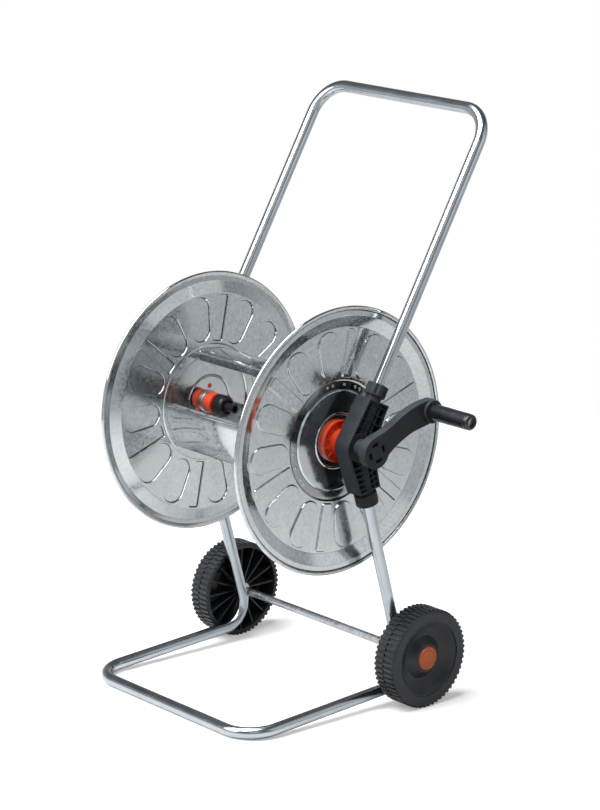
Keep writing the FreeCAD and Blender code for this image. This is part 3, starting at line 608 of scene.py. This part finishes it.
def wheel_tread(shape):
    """Two staggered rows of lugs round the tread, sunk a little into it."""
    sunk, width, gap = 0.8, 4.7, 1.3
    height = WHEEL_R - TREAD_BASE_R + sunk
    start, end = WHEEL_IN + 1.2, WHEEL_OUT - 1.4
    middle = (start + end) / 2
    rows = ((start, middle - gap / 2, 0.0), (middle + gap / 2, end, 0.5))
    for x0, x1, shift in rows:
        for k in range(LUG_COUNT):
            turn = Matrix.Rotation(TURN * (k + shift) / LUG_COUNT, 4, "X")
            place = WHEEL_AXIS @ turn @ Matrix.Translation(
                ((x0 + x1) / 2, 0, WHEEL_R - height / 2))
            shape.brick((x1 - x0, width, height), place, 0.7)


def wheel_ribs(shape):
    """Radial ribs between hub and rim, in the open back."""
    inner, outer = HUB_TUBE_R - 1, RIM_INNER_R + 1
    rib_x0, rib_x1, thick = WHEEL_IN + 4, WEB_X + 1, 2.4
    for k in range(RIB_COUNT):
        turn = Matrix.Rotation(TURN * k / RIB_COUNT, 4, "X")
        place = WHEEL_AXIS @ turn @ Matrix.Translation(
            ((rib_x0 + rib_x1) / 2, 0, (inner + outer) / 2))
        shape.brick((rib_x1 - rib_x0, thick, outer - inner), place, 0.4)


def wheels():
    shape = wheel_body()
    wheel_tread(shape)
    wheel_ribs(shape)
    pair("wheel_{}", shape, ("wheel_right", "wheel_left"), "wheel_plastic")
    out = WHEEL_OUT
    cap = Shape()
    profile = [(out - 13.5, 14.5), (out - 13.5, 17.7), (out - 3.0, 17.7), (out - 2.2, 16.6),
               (out - 1.9, 13.2), (out - 2.3, 12.8), (out - 2.3, 12.2), (out - 1.7, 11.8),
               (out - 1.2, 6.0), (out - 1.0, 0.0)]
    radii = [0, 0.3, 0.8, 0.8, 0.4, 0.2, 0.2, 0.4, 8, 0]
    cap.lathe(rounded(profile, radii), WHEEL_AXIS, 96, closed=False)
    cap.lathe([(out - 13.5, 14.5), (out - 4.0, 14.5), (out - 3.6, 0.0)], WHEEL_AXIS, 96,
              closed=False)
    pair("wheel_cap_{}", cap, ("wheel_right", "wheel_left"), "orange_cap")


# ---- reel discs ----

AROUND = 240  # vertices round a disc
FIELD_R0, FIELD_R1 = 91.6, 167.3  # the flat field that holds the embosses
EMBOSS_SECTION = rounded([(2.7, 0), (1.5, 0), (0.3, EMBOSS), (-0.7, EMBOSS)], [0, 1.0, 0.9, 0],
                         step=12)


def slot_outline(grow):
    """Tapered slot along +Y: two arcs joined by straight sides."""
    r_near, r_far = 112.5, 145.0
    near, far = 16.5 + grow, 19.0 + grow
    tilt = math.degrees(math.asin((far - near) / (r_far - r_near)))
    tip = arc((r_far, 0), far, -90 - tilt, 90 + tilt, 24)
    tail = arc((r_near, 0), near, 90 + tilt, 270 - tilt, 20)
    return tip + tail


def spoke_outline(grow):
    """Straight radial rib along +Y with slightly rounded corners."""
    y0, y1, half = 94.6 - grow, 164.2 + grow, 8.0 + grow
    corners = [(y0, -half), (y1, -half), (y1, half), (y0, half)]
    return rounded(corners, 2.6 + grow / 2, closed=True, step=15)


def embosses():
    """Each outline with the angle at which it is pressed: spokes, and two slots between each."""
    count, first, pair_half = 6, 80.0, 12.3
    spokes = [first + 360 / count * k for k in range(count)]
    slots = [a + 180 / count + side * pair_half for a in spokes for side in (-1, 1)]
    return [(spoke_outline, a) for a in spokes] + [(slot_outline, a) for a in slots]


def turned_outline(outline, grow, degrees):
    turn = Matrix.Rotation(math.radians(degrees), 2)
    return [turn @ p for p in outline(grow)]


def flat_between(shape, x, outlines):
    """A flat face at one X, inside the first outline and outside the others."""
    points, loops = [], []
    for outline in outlines:
        loops.append(list(range(len(points), len(points) + len(outline))))
        points += outline
    verts, _, faces, _, _, within = geometry.delaunay_2d_cdt(points, [], loops, 0, 1e-5)
    flat = [face for face, loops_round in zip(faces, within) if loops_round == [0]]
    shape.add([AXIS @ Vector((x, v.x, v.y)) for v in verts], flat)


def pressed_field(shape, lift):
    """The flat field with its raised pads; lift moves it along X for the sheet's other face."""
    circles = [[polar(r, 360 * k / AROUND) for k in range(AROUND)] for r in (FIELD_R1, FIELD_R0)]
    feet = [turned_outline(o, EMBOSS_SECTION[0].x, a) for o, a in embosses()]
    flat_between(shape, FIELD_X + lift, circles + feet)
    for outline, angle in embosses():
        rings = [[AXIS @ Vector((FIELD_X + lift + rise, p.x, p.y))
                  for p in turned_outline(outline, grow, angle)] for grow, rise in EMBOSS_SECTION]
        shape.loft(rings)
        crown = rings[-1]
        shape.add(crown, [tuple(range(len(crown)))])


def discs():
    """Pressed discs: hub seat, bead, drum seat, field, rim and rolled edge in one sheet."""
    centre = [(0.0, FIELD_R0), (0.0, 90.4), (-1.5, 88.2), (-1.5, 76.0), (0.8, 73.6),
              (0.8, 42.4), (2.0, 41.0), (2.0, 39.4), (0.8, 38.0), (0.8, 16.0)]
    smooth = rounded(centre, [0, 1.5, 1.5, 1.5, 1.5, 0.8, 0.7, 0.7, 0.8, 0], step=15)
    outer = [(FIELD_X + x, r) for x, r in smooth]
    back = [(x - SHEET, r) for x, r in reversed(outer)]
    shape = Shape()
    shape.lathe(outer + back, AXIS, AROUND, closed=False)
    rim = rounded([(0.0, FIELD_R1), (0.0, 168.2), (7.2, 186.0), (7.2, 192.6), (6.4, 193.6),
                   (6.6, 194.3)], [0, 1.5, 3.0, 0.6, 0.5, 0], step=12)
    bead_r, bead_x = 3.0, 6.7
    curl = [Vector((bead_x, DISC_R - bead_r)) + Vector((math.cos(a), math.sin(a))) * bead_r
            for a in (math.radians(-62 + 14 * k) for k in range(19))]
    front = [(FIELD_X + x, r) for x, r in rim + curl]
    behind = [(FIELD_X + x - SHEET, r) for x, r in reversed(rim[:-3])]
    shape.lathe(front + behind, AXIS, AROUND, closed=False)
    pressed_field(shape, 0.0)
    pressed_field(shape, -SHEET)
    pair("disc_{}", shape, ("reel", "reel"), "galvanised_sheet")


# ---- drum plates and rivets ----

PLATE_X = FIELD_X - 1.5 - SHEET


def drum_plates():
    """Curved sheets with bent lips along both sides and a folded tab at each disc."""
    mid_r, lip = DRUM_R - SHEET / 2, 15.0
    half = math.degrees(PLATE_HALF)
    bow = [polar(mid_r, -half + 2 * half * k / 12) for k in range(13)]
    path = [polar(mid_r - lip, -half)] + bow + [polar(mid_r - lip, half)]
    radii = [0, 3.0] + [0] * 11 + [3.0, 0]
    strip = ribbon(rounded(path, radii, step=12), SHEET)
    tab = (arc((0, 0), mid_r + 0.2, -half + 1, half - 1, 16)
           + arc((0, 0), 77.5, half - 1, 1 - half, 16))
    for number, angle in enumerate(PLATE_ANGLES, 1):
        place = AXIS @ Matrix.Rotation(math.radians(angle), 4, "X")
        shape = Shape()
        shape.slab(strip, -PLATE_X, PLATE_X, 0.2, place, steps=1)
        for side in (-1, 1):
            x0, x1 = sorted((side * PLATE_X, side * (PLATE_X - SHEET)))
            shape.slab(tab, x0, x1, 0.3, place, steps=2)
        node = f"drum_plate_{number}"
        piece(node + "_visual", shape, "reel", "galvanised_sheet", node)


def rivets():
    """Low domed studs through each plate's tabs and the discs."""
    ring_r, offsets = 82.5, (-22.5, -15.5, 0.0, 15.5, 22.5)
    inner, outer = PLATE_X - SHEET, PLATE_X + SHEET
    dome = [(0.0, 2.3), (0.35, 2.2), (0.6, 1.6), (0.7, 0.8), (0.7, 0.0)]
    shape = Shape()
    for plate in PLATE_ANGLES:
        for offset in offsets:
            spot = polar(ring_r, plate + offset)
            place = AXIS @ Matrix.Translation((0, spot.x, spot.y))
            for face, way in ((outer, 1), (inner, -1)):
                head = [(face + way * x, r) for x, r in dome] + [(face, 0)]
                shape.lathe(head, place, 20, closed=False)
    shape.add_twin()
    piece("rivets", shape, "reel", "steel_trim", "plate_rivets", "galvanised_sheet")


# ---- hubs ----

def hubs():
    """Flanged hubs with a ribbed dish, pegs, a thrust shoulder and a hollow journal."""
    flange, seat_r, dish_r, shoulder_r = HUB_X + 2.5, 15.9, 31.5, 19.0
    journal_r, core_r, rib_count, slip = 11.5, 7.0, 12, 0.3
    profile = [(HUB_X - SHEET, core_r), (HUB_X - SHEET, seat_r), (HUB_X, seat_r), (HUB_X, dish_r),
               (flange + 4, dish_r), (flange + 4, 29.4), (flange, 28.6),
               (flange, shoulder_r + 1), (flange + 2, shoulder_r),
               (BRACKET_IN - slip, shoulder_r), (BRACKET_IN - slip, journal_r),
               (BRACKET_OUT + slip, journal_r), (BRACKET_OUT + slip, core_r)]
    radii = [0.3, 0.3, 0, 0.4, 0.8, 0.6, 1.2, 1.5, 1.0, 0.8, 0.4, 0.8, 0.3]
    shape = Shape()
    shape.lathe(rounded(profile, radii, closed=True), AXIS, 128)
    for k in range(rib_count):
        turn = Matrix.Rotation(TURN * (k + 0.5) / rib_count, 4, "X")
        place = AXIS @ turn @ Matrix.Translation((flange + 1.6, 0, 24.4))
        shape.brick((4.0, 2.0, 11.0), place, 0.5)
    for angle in PEG_ANGLES:
        spot = polar(PEG_RING_R, angle)
        place = AXIS @ Matrix.Translation((HUB_X - SHEET, spot.x, spot.y))
        head = rounded([(0.4, 2.4), (0.0, 3.7), (-1.2, 3.5), (-1.2, 0)], [0, 0.3, 0.9, 0])
        shape.lathe(head, place, 32, closed=False)
    pair("hub_{}", shape, ("reel", "reel"), "orange_hub")


# ---- brackets and clamp nuts ----

def in_plane(direction, distance, offset):
    """A 2D point beside an arm's centre line, offset towards the back."""
    across = Vector((abs(direction.z), -direction.y * math.copysign(1, direction.z)))
    foot = Vector((foot_of(direction), 0))
    return foot + Vector((direction.y, direction.z)) * distance + across * offset


def bracket_outline():
    """Elbow seen along X: rounded front, square arm ends, hollow back."""
    elbow, hollow = Vector((-25.5, 1.5)), Vector((37.0, -4.0))
    top_front = in_plane(HANDLE_DIR, HANDLE_ARM, -17.8)
    top_back = in_plane(HANDLE_DIR, HANDLE_ARM + ARM_SLANT, 24.0)
    low_front = in_plane(LEG_DIR, LEG_ARM, -20.0)
    low_back = in_plane(LEG_DIR, LEG_ARM + ARM_SLANT, 20.5)
    front = rounded([top_front, elbow, low_front], [0, 25.0, 0], step=5)
    return front + arc_over(low_back, hollow, top_back, 24)


def brackets():
    """Elbows with a smooth skin round an open, ribbed outer side, and sockets for both tubes."""
    outline = bracket_outline()
    skin, web, edge, boss_r = 3.2, 4.5, 1.1, 21.4
    x0, x1 = BRACKET_IN, BRACKET_OUT
    shape = Shape()
    section = rounded([(0, x0), (0, x1), (skin, x1), (skin, x0)], [edge, edge, 0.5, 0],
                      closed=True)
    shape.rim(outline, section)
    shape.slab(inset(outline, skin - 0.6), x0 + 0.2, x0 + web, 0.2)
    boss = rounded([(x0 + 0.4, 11.7), (x0 + 0.4, boss_r), (x1, boss_r), (x1, 11.7)],
                   [0, 0, 1.0, 0.6], closed=True)
    shape.lathe(boss, AXIS, 96)
    tube_hole, collet_hole = TUBE_R + 0.05, 10.65
    socket = [(TUBE_END - 6, tube_hole), (TUBE_END - 6, NOSE_R), (NOSE_END, NOSE_R),
              (NOSE_END, collet_hole), (NUT_START - 1, collet_hole), (NUT_START - 1, tube_hole)]
    for direction in (HANDLE_DIR, LEG_DIR):
        shape.lathe(rounded(socket, [0, 0, 0.4, 0.3, 0, 0], closed=True), side_frame(direction), 64)
    ladder(shape, HANDLE_DIR, 12.5, 4, (-8.0, 10.0), outline, web)
    ladder(shape, LEG_DIR, 9.0, 5, (11.0, -6.0), outline, web)
    pair("bracket_{}", shape, ("frame", "frame"), "black_plastic")


def reach(outline, start, way):
    """Distance from a point inside a closed outline to its edge."""
    far = start + way * 200
    hits = [geometry.intersect_line_line_2d(start, far, a, b)
            for a, b in zip(outline, outline[1:] + outline[:1])]
    return min((hit - start).length for hit in hits if hit)


def ladder(shape, direction, pitch, count, offsets, outline, web):
    """Cross ribs and two long ribs that close an arm's outer side into cells."""
    place = side_frame(direction)
    thick, first, bury = 1.8, 28.0, 1.5  # bury is how far a rib ends short of the outline
    x0, x1 = BRACKET_IN + web - 0.3, BRACKET_OUT - 0.8
    middle = ((x0 + x1) / 2 - SIDE_X) * math.copysign(1, place.col[2].x)
    along_arm = Vector((direction.y, direction.z))
    across = in_plane(direction, 0, 1) - in_plane(direction, 0, 0)
    for k in range(count):
        start = in_plane(direction, first + pitch * k, 0)
        back, front = reach(outline, start, across) - bury, reach(outline, start, -across) - bury
        rib = place @ Matrix.Translation((first + pitch * k, (back - front) / 2, middle))
        shape.brick((thick, back + front, x1 - x0), rib, 0.4)
    for offset in offsets:
        start = first - 8.0
        length = reach(outline, in_plane(direction, start, offset), along_arm) - bury
        rib = place @ Matrix.Translation((start + length / 2, offset, middle))
        shape.brick((length, thick, x1 - x0), rib, 0.4)


def fluted(count, flute_r, depth, outer_r, x0, x1, phase=0.0):
    """Relief for lathe(): round flutes cut along a nut between two places."""
    reach_r = outer_r + flute_r - depth

    def relief(x, angle):
        slice_angle = TURN / count
        off = (angle + phase + slice_angle / 2) % slice_angle - slice_angle / 2
        sideways = reach_r * math.sin(off)
        if abs(sideways) >= flute_r or not x0 < x < x1:
            return 0.0
        cut = outer_r - (reach_r * math.cos(off) - math.sqrt(flute_r ** 2 - sideways ** 2))
        return -max(0.0, cut)
    return relief


def clamp_nut(name, direction, outer_r, count, flute_r, depth, phase):
    start, end, lip = NUT_START, NUT_START + NUT_LENGTH, NUT_START + 2.6
    profile = [(start, NOSE_R + 0.1), (start, outer_r), (lip - 0.5, outer_r),
               (lip + 0.4, outer_r), (end, outer_r), (end, TUBE_R + 0.1),
               (end - 4, TUBE_R + 0.1), (end - 4, NOSE_R + 0.1)]
    stations = rounded(profile, [0.3, 1.0, 0, 0, 1.6, 0.8, 0, 0], closed=True)
    shape = Shape()
    shape.lathe(stations, side_frame(direction), 240,
                relief=fluted(count, flute_r, depth, outer_r, lip, end + 1, phase))
    pair(name, shape, ("frame", "frame"), "black_plastic")


def clamp_nuts():
    """Broad lobed hand nuts on the handle, finely ribbed ones on the legs."""
    clamp_nut("handle_nut_{}", HANDLE_DIR, HANDLE_NUT.size.x / 2, 6, 3.6, 1.9, math.radians(12))
    clamp_nut("leg_nut_{}", LEG_DIR, LEG_NUT.size.x / 2, 24, 1.4, 0.6, 0.0)


# ---- crank and grip ----

def crank_outline():
    """Gently curved arm from the hub to the grip boss, seen along X."""
    grip_z = GRIP_Z - REEL_Z
    upper = smooth_curve([(-4, 23.7), (14, 29.2), (31, 37.3), (50, 47.4), (69, 55.5),
                          (89, 60.5), (GRIP_Y, grip_z + BOSS_R)])
    lower = smooth_curve([(17.5, -16.0), (25, -5.8), (37.5, 3.2), (56, 13.2), (75, 20.2),
                          (GRIP_Y, grip_z - BOSS_R)])
    nose = arc((GRIP_Y, grip_z), BOSS_R, -90, 90, 24)
    inside_hub = arc((0, 0), 20.3, 95, -37, 24)
    return lower + nose[1:-1] + upper[::-1] + inside_hub


def crank():
    """Curved arm with a slotted round hub, its drive neck and the boss that holds the grip."""
    hub_r, neck_r, face_r, face_x = 24.0, 13.5, 19.0, CRANK_OUT - 0.5
    around, slot_count, first_slot, slot_depth = 128, 4, 18, 8
    shape = Shape()
    shape.slab(crank_outline(), CRANK_IN, face_x, 1.3, steps=4)
    hub = [(CRANK_IN, 0), (CRANK_IN, hub_r), (CRANK_OUT, hub_r), (CRANK_OUT, face_r + 0.4),
           (face_x, face_r)]
    shape.lathe(rounded(hub, [0, 1.2, 1.4, 0.3, 0]), AXIS, around, closed=False)
    neck = [(BRACKET_OUT + 0.6, 0), (BRACKET_OUT + 0.6, neck_r), (CRANK_IN + 1, neck_r)]
    shape.lathe(rounded(neck, [0, 0.6, 0]), AXIS, 96, closed=False)
    boss = [(CRANK_IN, 0), (CRANK_IN, BOSS_R), (CRANK.high.x, BOSS_R - 0.6), (CRANK.high.x, 0)]
    shape.lathe(rounded(boss, [0, 1.0, 1.4, 0]), GRIP_AXIS, 96, closed=False)
    slots = [slot_in_face(first_slot + 360 / slot_count * k) for k in range(slot_count)]
    flat_between(shape, face_x, [arc((0, 0), face_r, 0, 360, around)[:-1]] + slots)
    for slot in slots:
        walls = [[AXIS @ Vector((x, p.x, p.y)) for p in slot]
                 for x in (face_x, face_x - slot_depth)]
        shape.loft(walls)
        shape.add(walls[-1], [tuple(range(len(slot)))])
    piece("crank_visual", shape, "reel", "black_plastic", "crank_arm")


def slot_in_face(angle):
    """Outline of a curved slot round the crank's hub, where its catches are reached."""
    r_out, r_in, half, steps = 15.4, 10.5, 25.0, 12
    sides = (arc((0, 0), r_out, angle - half, angle + half, steps)
             + arc((0, 0), r_in, angle + half, angle - half, steps))
    radii = [1.3] + [0] * (steps - 1) + [1.3]
    return rounded(sides, radii + radii, closed=True, step=30)


def grip():
    """Smooth handle with a shoulder groove near its open end, over the pin's head."""
    start, end = GRIP.low.x, GRIP.high.x
    outside = [(start, 5.1), (start, GRIP_R - 0.6), (start + 1.2, GRIP_R), (end - 9.6, GRIP_R - 0.2),
               (end - 9.0, GRIP_R - 0.9), (end - 8.2, GRIP_R - 0.9), (end - 7.6, GRIP_R - 0.3),
               (end - 2.0, GRIP_R - 0.7), (end, GRIP_R - 3.6), (end, 7.4), (end - 9.8, 7.3),
               (end - 9.8, 5.1)]
    radii = [0.2, 0.5, 2, 0.3, 0.2, 0.2, 0.3, 2.2, 0.9, 0.5, 0.3, 0]
    shape = Shape()
    shape.lathe(rounded(outside, radii, closed=True), GRIP_AXIS, 96)
    piece("grip_visual", shape, "grip", "grip_plastic", "crank_grip")


# ---- water fittings on the left ----

PASSAGE_R, STEM_R = 4.5, 8.0  # the water's way through, and the stem in the connector


def turned_left(name, profile, radii, body, slot, node, relief=None, n=96):
    """A turned fitting, drawn on the right and mirrored to its place on the left."""
    shape = Shape()
    shape.lathe(rounded(profile, radii, closed=True), AXIS, n, relief=relief)
    piece(name, shape.mirrored(), body, slot, node)


def inlet():
    """Fixed tap-hose nose with its flange on the left bracket."""
    out, nose_end, bore = BRACKET_OUT, -INLET.low.x, PASSAGE_R
    profile = [(out - 39, bore), (out - 39, 8.2), (out - 38, 9.0), (out + 2, 9.0),
               (out + 2, 16.5), (out, 16.5), (out, 22), (out + 5, 22), (out + 5, 13.0),
               (out + 6, 12.0), (out + 9, 12.0), (out + 9, 8.0), (out + 20, 8.0),
               (out + 20.6, 7.3), (out + 22.4, 7.3), (out + 23, 8.0), (out + 28, 8.0),
               (nose_end, 6.5), (nose_end, bore)]
    radii = [0, 0.5, 0.5, 0, 0, 0, 0.8, 1.2, 0.6, 0.8, 0.6, 0.5, 0.3, 0.3, 0.3, 0.3, 0.6, 0.6,
             0.4]
    turned_left("inlet_visual", profile, radii, "frame", "black_fitting", "inlet_spigot")


def connector():
    """Push-fit connector inside the drum, from the disc towards the hose tail."""
    base = HUB_X - SHEET
    start = base - 4.0
    spigot = [(152.0, PASSAGE_R), (152.0, 10.0), (start, 10.0), (start, STEM_R),
              (123.5, STEM_R), (122.0, 6.8), (122.0, PASSAGE_R)]
    turned_left("outlet_visual", spigot, [0, 0, 0, 0, 0.4, 0.4, 0], "reel", "black_fitting",
                "outlet_spigot")
    band = [(base, 10.1), (base, 17.4), (start, 17.4), (start, 10.1)]
    turned_left("connector_band", band, [0, 0.4, 1.2, 0.3], "reel", "steel_trim",
                "connector_ring")
    front, barrel_r, thread_r = start - 0.05, 12.2, 11.0
    sleeve_x0, sleeve_x1 = -SLEEVE.low.x, -SLEEVE.high.x
    nut_x, nut_end = -NUT.low.x, -NUT.high.x
    body = [(front, 8.25), (front, 15.2), (front - 2.9, 15.2), (front - 2.9, barrel_r),
            (nut_x + 0.3, barrel_r), (nut_x + 0.3, thread_r), (nut_end + 7, thread_r),
            (nut_end + 7, 7.65), (116.0, 7.65), (116.0, 8.25)]
    turned_left("connector_body_visual", body, [0.3, 0.8, 0.6, 0.3, 0.3, 0.2, 0.4, 0.3, 0, 0],
                "reel", "orange_fitting", "connector_body")
    sleeve_r = SLEEVE.size.z / 2
    sleeve = [(sleeve_x0, 12.5), (sleeve_x0, sleeve_r), (sleeve_x0 - 3.4, sleeve_r),
              (sleeve_x0 - 4.0, sleeve_r), (sleeve_x1 + 3.0, sleeve_r),
              (sleeve_x1 + 2.4, sleeve_r), (sleeve_x1, sleeve_r), (sleeve_x1, 12.5)]
    grips = fluted(30, 0.9, 0.45, sleeve_r, sleeve_x1 + 2.6, sleeve_x0 - 3.6)
    turned_left("sleeve_visual", sleeve, [0, 0.9, 0, 0, 0, 0, 0.9, 0], "sleeve",
                "orange_fitting", "connector_sleeve", grips, 240)
    nut_r = 16.2
    nut = [(nut_x, 11.1), (nut_x, nut_r - 0.8), (nut_x - 1, nut_r), (nut_x - 1.9, nut_r),
           (nut_x - 2.4, nut_r), (nut_end + 5.2, nut_r), (nut_end + 4.5, nut_r),
           (nut_end + 1.5, 14.2), (nut_end, 12.4), (nut_end, 10.0), (nut_end + 6, 10.0),
           (nut_end + 6, 11.1)]
    knurl = fluted(18, 1.6, 0.8, nut_r, nut_end + 5.0, nut_x - 2.0)
    turned_left("nut_visual", nut, [0, 0.4, 0.3, 0, 0, 0, 0, 0.8, 0.6, 0.4, 0, 0], "reel",
                "black_fitting", "connector_nut", knurl, 216)
    tail_end, step_x = -TAIL.high.x, nut_end - 0.2
    tail = [(121.5, PASSAGE_R), (121.5, STEM_R), (116.1, STEM_R), (116.1, 7.6), (step_x, 7.6),
            (step_x, 7.2), (tail_end + 1, 7.2), (tail_end, 6.2), (tail_end, PASSAGE_R)]
    turned_left("tail_visual", tail, [0, 0, 0, 0, 0.2, 0.2, 0.4, 0.4, 0.3], "reel",
                "black_fitting", "hose_tail")


def dress_kept_nodes():
    """Finishes for the nodes that keep their own shape."""
    kept = {"axle_push_nuts": "rod", "clamp_collets": "black_fitting", "inlet_screws": "rod",
            "inlet_seals": "seal_rubber", "connector_seal": "seal_rubber", "grip_pin": "rod"}
    for node, finish in kept.items():
        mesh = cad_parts[node].data
        mesh.materials.clear()
        mesh.materials.append(FINISHES[finish])


# ---- studio ----

def shown_by_ray(tree, shown, output, others):
    """Shows one shader, with another in its place for each kind of ray that is named."""
    path = tree.nodes.new("ShaderNodeLightPath")
    for ray, other in others:
        mix = tree.nodes.new("ShaderNodeMixShader")
        tree.links.new(path.outputs[ray], mix.inputs["Fac"])
        tree.links.new(shown.outputs[0], mix.inputs[1])
        tree.links.new(other.outputs[0], mix.inputs[2])
        shown = mix
    tree.links.new(shown.outputs[0], output.inputs["Surface"])


def floor():
    """A round pale floor: white to the camera, duller in reflections and in the light it sends
    back to matt surfaces."""
    radius, sides = 1.75, 96
    mesh = bpy.data.meshes.new("floor")
    ring = [(*(polar(radius, 360 * k / sides)), 0) for k in range(sides)]
    mesh.from_pydata(ring, [], [tuple(range(sides))])
    obj = bpy.data.objects.new("floor", mesh)
    bpy.context.scene.collection.objects.link(obj)
    paint = Finish("pale_floor", (0.90, 0.90, 0.90))
    paint.shader.inputs["Roughness"].default_value = 0.6
    paint.tint(paint.noise(3.0, 2.0), 0.995, 1.005)
    paint.shader.inputs["Emission Color"].default_value = (1, 1, 1, 1)
    paint.shader.inputs["Emission Strength"].default_value = 0.3

    def matt(grey):
        made = paint.node("ShaderNodeBsdfDiffuse")
        made.inputs["Color"].default_value = (grey, grey, grey, 1)
        return made

    shown_by_ray(paint.material.node_tree, paint.shader, paint.nodes["Material Output"],
                 (("Is Glossy Ray", matt(0.78)), ("Is Diffuse Ray", matt(0.10))))
    mesh.materials.append(paint.material)


def softbox(name, azimuth, elevation, distance, size, power):
    """A square area light aimed at the reel, in degrees, metres and watts; azimuth 0 is in
    front and 90 on the crank's side."""
    a, e = math.radians(azimuth), math.radians(elevation)
    back = Vector((math.sin(a) * math.cos(e), -math.cos(a) * math.cos(e), math.sin(e)))
    light = bpy.data.lights.new(name, "AREA")
    light.shape, light.size, light.energy = "SQUARE", size, power
    obj = bpy.data.objects.new(name, light)
    obj.location = Vector((0, 0, REEL_Z * MM)) + back * distance
    obj.rotation_mode = "QUATERNION"
    obj.rotation_quaternion = back.to_track_quat("Z", "Y")
    bpy.context.scene.collection.objects.link(obj)


def backdrop():
    """White to the camera, soft to matt surfaces, a room with a dark ceiling to what mirrors it."""
    world = bpy.data.worlds.new("studio")
    bpy.context.scene.world = world
    world.use_nodes = True
    nodes, links = world.node_tree.nodes, world.node_tree.links

    def background(colour):
        made = nodes.new("ShaderNodeBackground")
        made.inputs["Color"].default_value = (*colour, 1)
        return made

    room = nodes["Background"]
    heights = nodes.new("ShaderNodeSeparateXYZ")
    links.new(nodes.new("ShaderNodeTexCoord").outputs["Generated"], heights.inputs[0])
    ramp = nodes.new("ShaderNodeValToRGB")
    walls, ceiling = ramp.color_ramp.elements
    walls.position, walls.color = 0.05, (0.68, 0.69, 0.71, 1)
    ceiling.position, ceiling.color = 0.50, (0.14, 0.145, 0.155, 1)
    links.new(heights.outputs["Z"], ramp.inputs["Fac"])
    links.new(ramp.outputs["Color"], room.inputs["Color"])
    shown_by_ray(world.node_tree, background((0.10, 0.105, 0.115)), nodes["World Output"],
                 (("Is Glossy Ray", room), ("Is Camera Ray", background((1, 1, 1)))))


def camera():
    azimuth, elevation, roll = map(math.radians, (48.135, 14.518, 1.022))
    distance, aim_right, aim_up = 4424.4, 50.4, 421.6
    back = Vector((math.sin(azimuth) * math.cos(elevation),
                   -math.cos(azimuth) * math.cos(elevation), math.sin(elevation)))
    right = Vector((math.cos(azimuth), math.sin(azimuth), 0))
    up = back.cross(right)
    turned_right = right * math.cos(roll) + up * math.sin(roll)
    turned_up = up * math.cos(roll) - right * math.sin(roll)
    data = bpy.data.cameras.new("camera")
    data.sensor_width, data.lens = 36.0, 129.29
    data.clip_start, data.clip_end = 0.1, 100.0
    obj = bpy.data.objects.new("camera", data)
    turn = Matrix((turned_right, turned_up, back)).transposed().to_4x4()
    where = turned_right * aim_right + turned_up * aim_up + back * distance
    obj.matrix_world = Matrix.Translation(where * MM) @ turn
    bpy.context.scene.collection.objects.link(obj)
    bpy.context.scene.camera = obj


def studio():
    floor()
    backdrop()
    softbox("key", -18, 34, 2.6, 1.7, 55)
    softbox("overhead", -10, 70, 2.4, 2.0, 125)
    softbox("front", 53, 30, 3.0, 1.3, 4)
    softbox("fill", 120, 25, 3.0, 2.2, 9)
    camera()
    bpy.context.scene.view_settings.view_transform = "Standard"


def build():
    for make in (handle_tube, floor_tube, axle, weld_beads, wheels, discs, drum_plates, rivets,
                 hubs, brackets, clamp_nuts, crank, grip, inlet, connector, dress_kept_nodes):
        make()


build()
studio()

bpy.context.view_layer.update()
